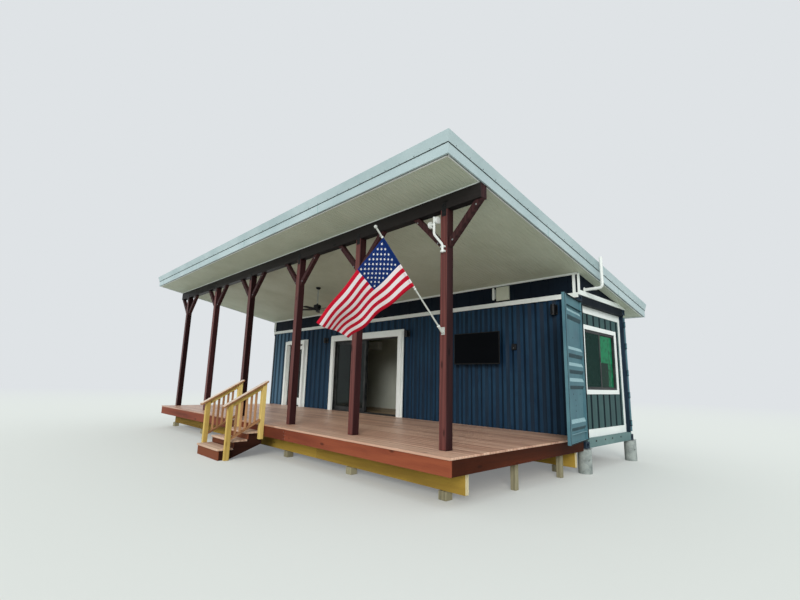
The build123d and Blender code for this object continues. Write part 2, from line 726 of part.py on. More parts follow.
def door_trims():
    """White box trims that stand out round the two doorways, with a flat casing behind."""
    trims = []
    for (far, near), width, depth in zip(doorways(), (ENTRY_BOX_WIDTH, PATIO_BOX_WIDTH),
                                         (ENTRY_BOX_DEPTH, PATIO_BOX_DEPTH)):
        box = ring(far, near, DECK_TOP, DOOR_HEAD, width, -depth, WALL_INSET)
        casing = ring(far, near, DECK_TOP, DOOR_HEAD, width + CASING_WIDTH, -CASING_DEPTH, WALL_INSET)
        trims.append(box + casing)
    return trims


def door_frames():
    """Jambs, head and threshold of both doorways; the patio frame holds the fixed panel."""
    frames = []
    for far, near in doorways():
        x0 = -far
        x1 = -near
        frame = block(x0, x1, WALL_INSET, LINING_FACE, FLOOR_TOP, DOOR_HEAD)
        frame -= block(x0 + JAMB, x1 - JAMB, WALL_INSET - 1, LINING_FACE + 1,
                       FLOOR_TOP + JAMB, DOOR_HEAD - JAMB)
        frames.append(frame)
    x0, x1 = fixed_panel_span()
    fixed = panel_frame(x0, x1, FIXED_PANEL_FACE)
    far, near = doorways()[1]
    middle = slider_face() + PANEL_THICKNESS / 2
    track = block(-far + JAMB, -near - JAMB, middle - TRACK_RIB_WIDTH / 2, middle + TRACK_RIB_WIDTH / 2,
                  FLOOR_TOP + JAMB, FLOOR_TOP + JAMB + TRACK_RIB_HEIGHT)
    frames[0] = frames[0] + entry_hinge_frame()
    frames[1] = frames[1] + fixed + track
    return frames


def slider_face():
    """Porch-side face of the sliding half, behind the fixed half."""
    return FIXED_PANEL_FACE + PANEL_THICKNESS + PANEL_TRACK_GAP


def fixed_panel_span():
    """Left and right edges of the fixed half of the patio door."""
    x0 = -PATIO_FAR + JAMB
    x1 = -PATIO_FAR + PATIO_WIDTH / 2 + PANEL_OVERLAP / 2
    return x0, x1


def slider_span():
    """Left and right edges of the sliding half when it stands open behind the fixed half."""
    x0, x1 = fixed_panel_span()
    return x0 + DOOR_CLEARANCE, x1 + DOOR_CLEARANCE


def panel_frame(x0, x1, face):
    """Stiles and rails of one patio panel."""
    z0 = FLOOR_TOP + JAMB
    z1 = DOOR_HEAD - JAMB
    frame = block(x0, x1, face, face + PANEL_THICKNESS, z0, z1)
    return frame - block(x0 + PANEL_STILE, x1 - PANEL_STILE, face - 1, face + PANEL_THICKNESS + 1,
                         z0 + PANEL_BOTTOM_RAIL, z1 - PANEL_STILE)


def patio_slider():
    """Sliding half of the patio door, with its pull."""
    x0, x1 = slider_span()
    face = slider_face()
    z0 = FLOOR_TOP + JAMB + DOOR_CLEARANCE
    z1 = DOOR_HEAD - JAMB - DOOR_CLEARANCE
    frame = block(x0, x1, face, face + PANEL_THICKNESS, z0, z1)
    frame -= block(x0 + PANEL_STILE, x1 - PANEL_STILE, face - 1, face + PANEL_THICKNESS + 1,
                   z0 + PANEL_BOTTOM_RAIL, z1 - PANEL_STILE)
    pull_x = x1 - PANEL_STILE / 2
    middle = (z0 + z1) / 2
    back = face + PANEL_THICKNESS
    pull = block(pull_x - 12, pull_x + 12, back, back + 14, middle - 110, middle + 110)
    roller_z = FLOOR_TOP + JAMB + TRACK_RIB_HEIGHT + RUNNING_GAP + ROLLER_RADIUS
    for x in (x0 + ROLLER_INSET, x1 - ROLLER_INSET):
        roller = Rot(90, 0, 0) * Cylinder(ROLLER_RADIUS, ROLLER_WIDTH)
        frame += Pos(x, face + PANEL_THICKNESS / 2, roller_z) * roller
    return frame + pull


def slider_glass():
    """Pane of the sliding half."""
    x0, x1 = slider_span()
    y = slider_face() + PANEL_THICKNESS / 2
    z0 = FLOOR_TOP + JAMB + DOOR_CLEARANCE + PANEL_BOTTOM_RAIL
    z1 = DOOR_HEAD - JAMB - DOOR_CLEARANCE - PANEL_STILE
    return block(x0 + PANEL_STILE, x1 - PANEL_STILE, y - GLASS / 2, y + GLASS / 2, z0, z1)


def entry_leaf_box():
    """Edges of the entry leaf: x0, x1, z0, z1."""
    return (-ENTRY_FAR + JAMB + DOOR_CLEARANCE, -ENTRY_FAR + ENTRY_WIDTH - JAMB - DOOR_CLEARANCE,
            FLOOR_TOP + JAMB + DOOR_CLEARANCE, DOOR_HEAD - JAMB - DOOR_CLEARANCE)


def entry_axis():
    """Plan position of the entry door's hinge line, just inside the leaf's inner face."""
    x0 = entry_leaf_box()[0]
    return x0 - BUTT_BACK, ENTRY_LEAF_FACE + ENTRY_LEAF + BUTT_OUT


def entry_knuckles(row):
    """Lowest and highest z of one row of knuckles on every hinge; row 1 is the leaf's."""
    z0, z1 = entry_leaf_box()[2:]
    third = BUTT_HEIGHT / 3
    spans = []
    for share in BUTT_SHARES:
        low = z0 + (z1 - z0) * share - BUTT_HEIGHT / 2 + third * row
        spans.append((low + BUTT_GAP / 2, low + third - BUTT_GAP / 2))
    return spans


def entry_hinge_frame():
    """The frame's knuckles and pins."""
    x, y = entry_axis()
    jamb = -ENTRY_FAR + JAMB
    pieces = []
    for (low, _), (_, high) in zip(entry_knuckles(0), entry_knuckles(2)):
        pieces.append(Pos(x, y, (low + high) / 2) * Cylinder(BUTT_PIN, high - low))
    for row in (0, 2):
        for low, high in entry_knuckles(row):
            pieces.append(Pos(x, y, (low + high) / 2) * Cylinder(BUTT_RADIUS, high - low))
            pieces.append(block(jamb - 1, x, y - BUTT_PIN, y + BUTT_PIN, low, high))
    return pieces


def entry_door():
    """Glazed entry leaf with a lever on each face."""
    x0, x1, z0, z1 = entry_leaf_box()
    y0 = ENTRY_LEAF_FACE
    y1 = y0 + ENTRY_LEAF
    leaf = block(x0, x1, y0, y1, z0, z1)
    leaf -= block(x0 + ENTRY_STILE, x1 - ENTRY_STILE, y0 - 1, y1 + 1,
                  z0 + ENTRY_BOTTOM_RAIL, z1 - ENTRY_STILE)
    lever_z = FLOOR_TOP + LEVER_HEIGHT
    lever_x = x1 - ENTRY_STILE / 2
    for face, out in ((y0, -1), (y1, 1)):
        leaf += Pos(lever_x, face + out * 5, lever_z) * Rot(90, 0, 0) * Cylinder(27, 10)
        leaf += Pos(lever_x, face + out * 25, lever_z) * Rot(90, 0, 0) * Cylinder(9, 50)
        leaf += block(lever_x - 105, lever_x + 9, face + out * 40, face + out * 54,
                      lever_z - 9, lever_z + 9)
    x, y = entry_axis()
    for low, high in entry_knuckles(1):
        leaf += Pos(x, y, (low + high) / 2) * Cylinder(BUTT_RADIUS, high - low)
        leaf += block(x, x0 + BUTT_PLATE_WIDTH, y1, y1 + BUTT_PLATE, low, high)
        leaf -= Pos(x, y, (low + high) / 2) * Cylinder(BUTT_PIN + PIN_FIT, high - low + 2)
    return leaf


def entry_glass():
    """Pane of the entry leaf."""
    x0, x1, z0, z1 = entry_leaf_box()
    y = ENTRY_LEAF_FACE + ENTRY_LEAF / 2
    return block(x0 + ENTRY_STILE, x1 - ENTRY_STILE, y - GLASS, y + GLASS,
                 z0 + ENTRY_BOTTOM_RAIL, z1 - ENTRY_STILE)


def hinge_axis(side):
    """Plan position of a cargo door's hinge line; side -1 is the porch side."""
    y = HINGE_INSET if side < 0 else CONTAINER_WIDTH - HINGE_INSET
    return (-HINGE_INSET, y)


def leaf_across(side, distance):
    """y of a point on a closed leaf, by its distance from the container's side."""
    return distance if side < 0 else CONTAINER_WIDTH - distance


def leaf_hip(side, base_x, top_x, z, shrink):
    """Solid under one pressed rib of a leaf, its ends sloped; shrink pulls every side in."""
    y0 = LEAF_EDGE_GAP + LEAF_FRAME + shrink
    y1 = LEAF_EDGE_GAP + LEAF_WIDTH - LEAF_FRAME - shrink
    half = LEAF_RIB_HEIGHT / 2 - shrink
    flat = LEAF_RIB_FLAT / 2 - shrink / 2
    faces = []
    for x, near, far, rise in ((base_x, y0, y1, half),
                               (top_x, y0 + LEAF_RIB_HINGE_END, y1 - LEAF_RIB_FREE_END, flat)):
        corners = [(near, z - rise), (far, z - rise), (far, z + rise), (near, z + rise)]
        outline = Polyline(*[(x, leaf_across(side, y), height) for y, height in corners], close=True)
        faces.append(make_face(outline))
    return loft(faces, ruled=True)


def cargo_leaf(side):
    """One cargo door, closed: channel frame, pressed panel with its ribs, and hinge blades."""
    near = leaf_across(side, LEAF_EDGE_GAP)
    far = leaf_across(side, LEAF_EDGE_GAP + LEAF_WIDTH)
    x_out = -LEAF_OUTER
    x_in = x_out - LEAF_THICKNESS
    leaf = block(x_out, x_in, near, far, LEAF_Z0, LEAF_Z1)
    inner_near = leaf_across(side, LEAF_EDGE_GAP + LEAF_FRAME)
    inner_far = leaf_across(side, LEAF_EDGE_GAP + LEAF_WIDTH - LEAF_FRAME)
    z0 = LEAF_Z0 + LEAF_BOTTOM_RAIL
    z1 = LEAF_Z1 - LEAF_TOP_RAIL
    leaf -= block(x_out + 1, x_in - 1, inner_near, inner_far, z0, z1)
    lip = LEAF_LIP
    pocket = x_in + LEAF_POCKET
    for low, high in ((LEAF_Z0 + lip, z0 - lip), (z1 + lip, LEAF_Z1 - lip)):
        leaf -= block(pocket, x_in - 1, inner_near, inner_far, low, high)
    leaf -= block(pocket, x_in - 1, leaf_across(side, LEAF_EDGE_GAP + lip),
                  leaf_across(side, LEAF_EDGE_GAP + LEAF_FRAME - lip), LEAF_Z0 + lip, LEAF_Z1 - lip)
    outside = x_out - LEAF_SHEET_SETBACK
    inside = outside - LEAF_SHEET
    leaf += block(outside, inside, inner_near, inner_far, z0, z1)
    for z in LEAF_RIBS:
        leaf += leaf_hip(side, inside + 1, x_in + 1, z, 0)
    for z in LEAF_RIBS:
        leaf -= leaf_hip(side, outside + 0.01, x_in + 1 + LEAF_SHEET, z, LEAF_SHEET)
    axis_x, axis_y = hinge_axis(side)
    blade_end = leaf_across(side, HINGE_BLADE_REACH)
    for z in HINGE_HEIGHTS:
        low = z - KNUCKLE_HEIGHT / 2
        leaf += Pos(axis_x, axis_y, z) * Cylinder(KNUCKLE_RADIUS, KNUCKLE_HEIGHT)
        leaf += block(x_out, x_out + HINGE_BLADE, axis_y, blade_end, low, low + KNUCKLE_HEIGHT)
        leaf -= Pos(axis_x, axis_y, z) * Cylinder(PIN_RADIUS + PIN_FIT, KNUCKLE_HEIGHT + 2)
    return leaf


def lock_bars(side):
    """Two locking bars with their guides and handles, on the outside of a closed leaf."""
    bars = []
    x = -LOCK_BAR_CENTRE
    for place, reach in zip(LOCK_BAR_PLACES, (LOCK_HANDLE, -LOCK_HANDLE)):
        y = leaf_across(side, place)
        reach *= -side
        bar = Pos(x, y, (LEAF_Z0 + LEAF_Z1) / 2) * Cylinder(LOCK_BAR_RADIUS, LEAF_Z1 - LEAF_Z0)
        for z in (LEAF_Z0 + GUIDE_INSET, LEAF_Z0 + GUIDE_SPACING, LEAF_Z1 - GUIDE_SPACING,
                  LEAF_Z1 - GUIDE_INSET):
            bar += block(-LEAF_OUTER, x + 8, y - 45, y + 45, z - 30, z + 30)
        handle_z = LEAF_Z0 + LOCK_HANDLE_HEIGHT
        bar += block(-LEAF_OUTER + 6, x, y, y + reach, handle_z, handle_z + 26)
        tip = y + reach
        bar += block(-LEAF_OUTER, x - 6, tip - 15, tip + 15, handle_z - 14, handle_z + 40)
        bars.append(bar)
    return bars


def swung(shape, side):
    """Turn a closed cargo door piece about its hinge line to its open place."""
    axis_x, axis_y = hinge_axis(side)
    angle = -FRONT_LEAF_ANGLE if side < 0 else BACK_LEAF_ANGLE
    return shape.rotate(Axis((axis_x, axis_y, 0), (0, 0, 1)), angle)


def grooved_face(start, end, pitch):
    """Steps of a flat face with square grooves at a pitch, as (place, depth) points."""
    points = [(start, 0.0)]
    way = 1 if end > start else -1
    half = way * KNEE_GROOVE_WIDTH / 2
    place = start + way * pitch * 0.5
    while (end - place) * way > pitch * 0.3:
        points += [(place - half, 0.0), (place - half, KNEE_GROOVE_DEPTH),
                   (place + half, KNEE_GROOVE_DEPTH), (place + half, 0.0)]
        place += way * pitch
    points.append((end, 0.0))
    return points


def knee_wall():
    """Grooved panels between the container's top and the soffit: the front and two gables."""
    y1 = KNEE_THICKNESS
    top = ceiling_z(0)
    front = prism_z(grooved_face(0.0, FAR_X, KNEE_GROOVE_PITCH) + [(FAR_X, y1), (0.0, y1)], TOP_Z, top)
    panels = [front - sloped(FAR_X - 1, 1, -1, y1 + 1, 0, 2 * y1)]
    low = min(CONTAINER_WIDTH, (CEILING_AT_WALL - TOP_Z) / ROOF_SLOPE - 1)
    for face, inward in ((-5.0, -1), (FAR_X + 5.0, 1)):
        steps = [(face + inward * depth, y) for y, depth in grooved_face(y1 + 1, low, KNEE_GROOVE_PITCH)]
        back = face + inward * GABLE_THICKNESS
        gable = prism_z(steps + [(back, low), (back, y1 + 1)], TOP_Z, top)
        cut = sloped(min(face, back) - 1, max(face, back) + 1, 0, CONTAINER_WIDTH + 50, 0, top - TOP_Z + 50)
        panels.append(gable - cut)
    return panels


def knee_trim():
    """White boards on the knee wall: foot, top, corners and the gables' feet."""
    thick = WHITE_BOARD
    foot_z0 = TOP_Z - TOP_RAIL + 4
    foot = block(FAR_X, 0, -thick, 0, foot_z0, foot_z0 + KNEE_BOARD_HEIGHT)
    top = block(FAR_X, 0, -thick, 0, CEILING_AT_WALL - KNEE_TOP_BOARD, CEILING_AT_WALL)
    front = foot + top
    for x in (0.0, FAR_X):
        way = -1 if x == 0.0 else 1
        inner = x + way * CORNER_BOARD
        front += block(x + way * CORNER_REVEAL, inner, -thick, 0, foot_z0 + KNEE_BOARD_HEIGHT,
                       CEILING_AT_WALL - KNEE_TOP_BOARD)
        out = x - way * thick
        turn_y = CORNER_BOARD - CORNER_REVEAL
        front += block(x, out, -thick, turn_y, TOP_Z, ceiling_z(turn_y))
        slope_end = CONTAINER_WIDTH
        height = min(KNEE_BOARD_HEIGHT, ceiling_z(turn_y) - TOP_Z)
        turn = (CEILING_AT_WALL - TOP_Z - height) / ROOF_SLOPE
        outline = [(turn_y, TOP_Z), (slope_end, TOP_Z), (slope_end, ceiling_z(slope_end)),
                   (turn, TOP_Z + height), (turn_y, TOP_Z + height)]
        front += prism_x(outline, x, out)
    return front


def soffit():
    """Beaded soffit panel under the whole roof."""
    return sloped(ROOF_X0, ROOF_X1, -EAVE_FRONT, EAVE_BACK_Y, 0, SOFFIT)


def rafters():
    """Sloping rafters on the soffit."""
    pieces = []
    length = ROOF_X1 - ROOF_X0 - PLANK
    count = int(length // RAFTER_PITCH) + 1
    for k in range(count + 1):
        x = ROOF_X0 + length * k / count
        pieces.append(sloped(x, x + PLANK, -EAVE_FRONT, EAVE_BACK_Y, SOFFIT, PANEL_RISE))
    return pieces


def fascia():
    """Metal fascia round the roof, with the flared drip trim above it."""
    t = FASCIA_THICKNESS
    y0 = -EAVE_FRONT
    y1 = EAVE_BACK_Y
    band = sloped(ROOF_X0 - t, ROOF_X1 + t, y0 - t, y1 + t, -FASCIA_DROP, FASCIA_BAND)
    band -= sloped(ROOF_X0, ROOF_X1, y0, y1, -FASCIA_DROP - 1, FASCIA_BAND + 1)

    def quad(grow, rise):
        xa = ROOF_X0 - grow
        xb = ROOF_X1 + grow
        ya = y0 - grow
        yb = y1 + t
        corners = [(xa, ya), (xb, ya), (xb, yb), (xa, yb)]
        return make_face(Polyline(*[(x, y, ceiling_z(y) + rise) for x, y in corners], close=True))

    top = FASCIA_BAND + ROOF_TRIM_BAND
    flare = loft([quad(t + ROOF_TRIM_LEDGE, FASCIA_BAND), quad(t + ROOF_TRIM_FLARE, top)], ruled=True)
    flare -= sloped(ROOF_X0, ROOF_X1, y0, y1 + t + 10, FASCIA_BAND - 1, top + 1)
    return band + flare


def roof_panels():
    """Ribbed metal roof sheet laid down the slope."""
    length = ROOF_X1 - ROOF_X0
    count = int(length // PANEL_RIB_PITCH)
    margin = (length - count * PANEL_RIB_PITCH) / 2
    line = [(ROOF_X0, 0)]
    for k in range(count):
        centre = ROOF_X0 + margin + PANEL_RIB_PITCH * (k + 0.5)
        line += [(centre - PANEL_RIB_FOOT / 2, 0), (centre - PANEL_RIB_TOP / 2, PANEL_RIB_HEIGHT),
                 (centre + PANEL_RIB_TOP / 2, PANEL_RIB_HEIGHT), (centre + PANEL_RIB_FOOT / 2, 0)]
    line.append((ROOF_X1, 0))
    y0 = -EAVE_FRONT
    base = ceiling_z(y0) + PANEL_RISE
    run = EAVE_BACK_Y + GUTTER_WIDTH / 3 - y0
    outline = [(x, y0, base + z + PANEL_SHEET) for x, z in line]
    outline += [(x, y0, base + z) for x, z in reversed(line)]
    face = make_face(Polyline(*outline, close=True))
    return Solid.extrude(face.face(), Vector(0, run, -ROOF_SLOPE * run))


def gutter():
    """Box gutter with a rolled lip along the back eave, closed at both ends."""
    y0 = EAVE_BACK_Y + FASCIA_THICKNESS
    y1 = y0 + GUTTER_WIDTH
    z1 = ceiling_z(EAVE_BACK_Y + GUTTER_WIDTH) + PANEL_RISE - 6
    z0 = z1 - GUTTER_HEIGHT
    t = GUTTER_SHEET
    outline = [(y0, z0), (y1 - 28, z0), (y1, z0 + 62), (y1, z1 - 4), (y1 - 14, z1 - 4),
               (y1 - 14, z1 - 4 - t), (y1 - t, z1 - 4 - t), (y1 - t, z0 + 62 + 1), (y1 - 28 - 2, z0 + t),
               (y0 + t, z0 + t), (y0 + t, z1 - 16), (y0, z1 - 16)]
    channel = prism_x(outline, ROOF_X0, ROOF_X1)
    cap = [(y0, z0), (y1 - 28, z0), (y1, z0 + 62), (y1, z1 - 4), (y0, z1 - 16)]
    for x in (ROOF_X0, ROOF_X1 - t):
        channel += prism_x(cap, x, x + t)
    return channel


def porch_beam():
    """Beam on the posts, its top bevelled to the slope of the soffit."""
    y0 = -POST_FRONT
    y1 = y0 + POST
    outline = [(y0, BEAM_BOTTOM), (y1, BEAM_BOTTOM), (y1, ceiling_z(y1)), (y0, ceiling_z(y0))]
    return prism_x(outline, FAR_X - BEAM_FAR_REACH, BEAM_NEAR_REACH)


def porch_posts():
    """Square posts from the deck to the beam."""
    posts = []
    for place in POST_PLACES:
        posts.append(block(-place - POST / 2, -place + POST / 2, -POST_FRONT, -POST_FRONT + POST,
                           DECK_TOP, BEAM_BOTTOM))
    return posts


def knee_braces():
    """A pair of sloping braces from each post up to the beam."""
    braces = []
    wide = BRACE * math.sqrt(2)
    y0 = -POST_LINE - BRACE / 2
    for place in POST_PLACES:
        for side in (-1, 1):
            foot = -place + side * POST / 2
            z = BEAM_BOTTOM
            outline = [(foot, z - BRACE_LEG), (foot + side * BRACE_LEG, z),
                       (foot + side * (BRACE_LEG - wide), z), (foot, z - BRACE_LEG + wide)]
            braces.append(prism_y(outline, y0, y0 + BRACE))
    return braces


def deck_boards():
    """Deck surface, proud of the rim on three sides."""
    over = DECK_OVERHANG
    return block(DECK_X0 - over, DECK_X1, -DECK_DEPTH - over, -DECK_WALL_GAP, DECK_BASE, DECK_TOP)


def deck_rim():
    """Stained rim boards round the outside of the deck."""
    t = PLANK
    outer = block(DECK_X0, DECK_X1 - 4, -DECK_DEPTH, -DECK_BACK, RIM_BOTTOM, DECK_BASE)
    return outer - block(DECK_X0 + t, DECK_X1 - 4 - t, -DECK_DEPTH + t, -DECK_BACK + 1,
                         RIM_BOTTOM - 1, DECK_BASE + 1)


def end_stub_places():
    """Distances from the wall of the short posts under the near end."""
    return [DECK_DEPTH * share for share in END_STUB_SHARES]


def deck_joists():
    """Joists under the deck boards, with blocking over the short posts at the near end."""
    joists = []
    x0 = DECK_X0 + PLANK
    x1 = DECK_X1 - 4 - PLANK
    count = int((x1 - x0) // JOIST_PITCH)
    for k in range(1, count + 1):
        x = x0 + (x1 - x0) * k / (count + 1)
        joists.append(block(x - PLANK / 2, x + PLANK / 2, -DECK_DEPTH + PLANK, -DECK_BACK,
                            DECK_BASE - JOIST_HEIGHT, DECK_BASE))
    last = x0 + (x1 - x0) * count / (count + 1) + PLANK / 2
    for place in end_stub_places():
        joists.append(block(last, x1, -place - PLANK / 2, -place + PLANK / 2,
                            DECK_BASE - JOIST_HEIGHT, DECK_BASE))
    return joists


def deck_girders():
    """Two girders under the joists, each with its short posts, and two stubs at the end."""
    pieces = []
    top = RIM_BOTTOM
    z0 = top - GIRDER_HEIGHT
    for y in (-POST_LINE, -BACK_GIRDER_OFFSET):
        girder = block(DECK_X0 + GIRDER_END_INSET, DECK_X1 - GIRDER_END_INSET,
                       y - GIRDER_WIDTH / 2, y + GIRDER_WIDTH / 2, z0, top)
        girder += block(DECK_X0 + PLANK, DECK_X1 - 4 - PLANK, y - PLANK / 2, y + PLANK / 2,
                        top, DECK_BASE - JOIST_HEIGHT)
        for place in POST_PLACES:
            girder += block(-place - STUB / 2, -place + STUB / 2, y - STUB / 2, y + STUB / 2, 0, z0)
        pieces.append(girder)
    x1 = DECK_X1 - 4 - END_STUB_INSET
    for place in end_stub_places():
        pieces.append(block(x1 - END_STUB, x1, -place - END_STUB / 2, -place + END_STUB / 2,
                            0, DECK_BASE - JOIST_HEIGHT))
    return pieces


def tread_edge(step):
    """y of a step's stringer cut; step 0 is the deck's rim."""
    return -DECK_DEPTH - STAIR_RUN * step


def tread_top(step):
    """z of the top of a tread, counted down from the deck."""
    return DECK_TOP - STAIR_RISE * step


def stair_carriage():
    """Saw-tooth stringers with the riser boards that tie them together."""
    outline = []
    for step in range(1, STAIR_TREADS + 1):
        top = tread_top(step) - PLANK
        outline += [(tread_edge(step - 1), top), (tread_edge(step), top)]
    foot = tread_edge(STAIR_TREADS)
    outline += [(foot, 0), (foot + 180, 0), (tread_edge(0), RIM_BOTTOM - 150)]
    inner_far = -STAIR_FAR + NEWEL / 2
    inner_near = -STAIR_NEAR - NEWEL / 2
    middle = (inner_far + inner_near) / 2
    carriage = None
    for x in (inner_far, middle - PLANK / 2, inner_near - PLANK):
        stringer = prism_x(outline, x, x + PLANK)
        carriage = stringer if carriage is None else carriage + stringer
    for step in range(1, STAIR_TREADS + 1):
        low = tread_top(step + 1) if step < STAIR_TREADS else 0
        y = tread_edge(step)
        carriage += block(inner_far, inner_near, y - RISER_BOARD, y, low, tread_top(step) - PLANK)
    return carriage


def stair_treads():
    """Three treads with a nosing past each riser."""
    treads = []
    for step in range(1, STAIR_TREADS + 1):
        back = tread_edge(step - 1) - (RISER_BOARD if step > 1 else DECK_OVERHANG)
        front = tread_edge(step) - RISER_BOARD - TREAD_NOSING
        treads.append(block(-STAIR_FAR + NEWEL / 2, -STAIR_NEAR - NEWEL / 2, front, back,
                            tread_top(step) - PLANK, tread_top(step)))
    return treads


def cap_z(y):
    """Height of the top of the sloping hand rail."""
    low_y = -DECK_DEPTH - CAP_LOW_OUT
    high_y = -DECK_DEPTH + 10
    return CAP_LOW_HEIGHT + (CAP_HIGH_HEIGHT - CAP_LOW_HEIGHT) * (y - low_y) / (high_y - low_y)


def sloping_rail(x0, x1, y0, y1, drop, depth):
    """A rail parallel to the hand rail, a drop below its top."""
    outline = [(y0, cap_z(y0) - drop), (y1, cap_z(y1) - drop),
               (y1, cap_z(y1) - drop - depth), (y0, cap_z(y0) - drop - depth)]
    return prism_x(outline, x0, x1)


def stair_railings():
    """Two stair railings: newels, cap, rails and balusters."""
    railings = []
    lower_y = -DECK_DEPTH - LOWER_NEWEL_OUT
    upper_y = -DECK_DEPTH - DECK_OVERHANG - NEWEL / 2 - 1
    low_y = -DECK_DEPTH - CAP_LOW_OUT
    high_y = -DECK_DEPTH + 10
    half = NEWEL / 2
    for place in (STAIR_FAR, STAIR_NEAR):
        x = -place
        railing = sloping_rail(x - CAP_WIDTH / 2, x + CAP_WIDTH / 2, low_y, high_y, 0, PLANK)
        for y, foot in ((lower_y, 0.0), (upper_y, UPPER_NEWEL_FOOT)):
            outline = [(y - half, foot), (y + half, foot), (y + half, cap_z(y + half) - PLANK / 2),
                       (y - half, cap_z(y - half) - PLANK / 2)]
            railing += prism_x(outline, x - half, x + half)
        inner0 = lower_y + half
        inner1 = upper_y - half
        railing += sloping_rail(x - PLANK / 2, x + PLANK / 2, inner0, inner1, PLANK, RAIL_DEPTH)
        railing += sloping_rail(x - RAIL_DEPTH / 2, x + RAIL_DEPTH / 2, inner0, inner1, RAIL_DROP, PLANK)
        for k in range(BALUSTER_COUNT):
            y = inner0 + (inner1 - inner0) * (k + 1) / (BALUSTER_COUNT + 1)
            b = BALUSTER / 2
            outline = [(y - b, cap_z(y - b) - RAIL_DROP - 1), (y + b, cap_z(y + b) - RAIL_DROP - 1),
                       (y + b, cap_z(y + b) - PLANK - 1), (y - b, cap_z(y - b) - PLANK - 1)]
            railing += prism_x(outline, x - b, x + b)
        railings.append(railing)
    return railings


def fan_top_z():
    """Height of the soffit above the fan's centre."""
    return ceiling_z(-FAN_Y)


def fan_mount():
    """Canopy, down rod and motor of the ceiling fan, its canopy cut to the slope."""
    top = fan_top_z() + ROOF_SLOPE * FAN_CANOPY_RADIUS
    x = -FAN_X
    y = -FAN_Y
    low = fan_top_z() - FAN_CANOPY_HEIGHT
    canopy = Pos(x, y, (low + top) / 2) * Cone(FAN_CANOPY_RADIUS * 0.5, FAN_CANOPY_RADIUS, top - low)
    reach = FAN_CANOPY_RADIUS * 2
    canopy -= sloped(x - reach, x + reach, y - reach, y + reach, 0, reach)
    motor_top = low - FAN_ROD_LENGTH
    mount = canopy + Pos(x, y, (low + motor_top) / 2) * Cylinder(FAN_ROD_RADIUS, FAN_ROD_LENGTH + 10)
    motor = Pos(x, y, motor_top - FAN_MOTOR_HEIGHT / 2) * Cylinder(FAN_MOTOR_RADIUS, FAN_MOTOR_HEIGHT)
    motor = fillet(motor.edges().filter_by(GeomType.CIRCLE), FAN_MOTOR_HEIGHT * 0.3)
    shaft_top = motor_top - FAN_MOTOR_HEIGHT / 2
    cap_top = fan_hub_top() - FAN_HUB_HEIGHT - RUNNING_GAP
    shaft = Pos(x, y, (shaft_top + cap_top) / 2) * Cylinder(FAN_SHAFT_RADIUS, shaft_top - cap_top)
    cap = Pos(x, y, cap_top - FAN_CAP_HEIGHT / 2) * Cylinder(FAN_CAP_RADIUS, FAN_CAP_HEIGHT)
    return mount + motor + shaft + cap


def fan_hub_top():
    """Top of the turning hub, a running gap below the motor."""
    low = fan_top_z() - FAN_CANOPY_HEIGHT
    return low - FAN_ROD_LENGTH - FAN_MOTOR_HEIGHT - FAN_HUB_GAP


def fan_rotor():
    """Turning hub with its pitched blades."""
    x = -FAN_X
    y = -FAN_Y
    z = fan_hub_top() - FAN_HUB_HEIGHT / 2
    hub_radius = FAN_MOTOR_RADIUS * 0.8
    rotor = Pos(x, y, z) * Cylinder(hub_radius, FAN_HUB_HEIGHT)
    for k in range(FAN_BLADES):
        inner = hub_radius * 0.8
        half = FAN_BLADE_WIDTH / 2
        outline = Polyline((inner, -half * 0.45), (inner + 130, -half), (FAN_REACH - 60, -half * 0.95),
                           (FAN_REACH, -half * 0.4), (FAN_REACH, half * 0.4), (FAN_REACH - 60, half * 0.95),
                           (inner + 130, half), (inner, half * 0.45), close=True)
        blade = extrude(make_face(outline), FAN_BLADE_THICKNESS / 2, both=True)
        blade = Rot(FAN_BLADE_PITCH, 0, 0) * blade
        rotor += Pos(x, y, z) * Rot(0, 0, 360 / FAN_BLADES * k) * blade
    bore = Cylinder(FAN_SHAFT_RADIUS + PIN_FIT, FAN_HUB_HEIGHT * 2)
    return rotor - Pos(x, y, z) * bore


def wall_lamps():
    """Small cylinder lamps on back plates along the porch wall."""
    lamps = []
    for place, z, height in LAMP_PLACES:
        x = -place
        plate = block(x - LAMP_WIDTH / 2, x + LAMP_WIDTH / 2, WALL_INSET - 18, WALL_INSET, z, z + height)
        radius = LAMP_WIDTH * 0.42
        y = WALL_INSET - LAMP_REACH + radius
        body = Pos(x, y, z + height / 2) * Cylinder(radius, height)
        neck = block(x - 20, x + 20, y, WALL_INSET - 10, z + height * 0.4, z + height * 0.6)
        lamp = plate + body + neck
        pan = sheet_depth(place)
        if pan > 0:
            lamp += block(x - LAMP_BOSS / 2, x + LAMP_BOSS / 2, WALL_INSET - 10, WALL_INSET + pan,
                          z + height * 0.3, z + height * 0.7)
        lamps.append(lamp)
    return lamps


def wall_screen():
    """Flat screen on a bracket beside the patio door."""
    x0 = -SCREEN_FAR
    back = WALL_INSET - SCREEN_STANDOFF
    screen = block(x0, x0 + SCREEN_WIDTH, back - SCREEN_THICKNESS, back,
                   SCREEN_BOTTOM, SCREEN_BOTTOM + SCREEN_HEIGHT)
    screen = fillet(screen.edges().filter_by(Axis.Y), 8)
    middle = x0 + SCREEN_WIDTH / 2
    z = SCREEN_BOTTOM + SCREEN_HEIGHT / 2
    screen += block(middle - 210, middle + 210, back, WALL_INSET, z - 150, z + 150)
    return screen


def air_unit():
    """Indoor unit high on the back lining."""
    back = CONTAINER_WIDTH - LINING_FACE
    x0 = -AIR_UNIT_FAR
    top = CEILING_Z - AIR_UNIT_DROP
    unit = block(x0, x0 + AIR_UNIT_WIDTH, back - AIR_UNIT_DEPTH, back, top - AIR_UNIT_HEIGHT, top)
    edge = unit.edges().filter_by(Axis.X).group_by(Axis.Z)[0].sort_by(Axis.Y)[0]
    return fillet(edge, 60)


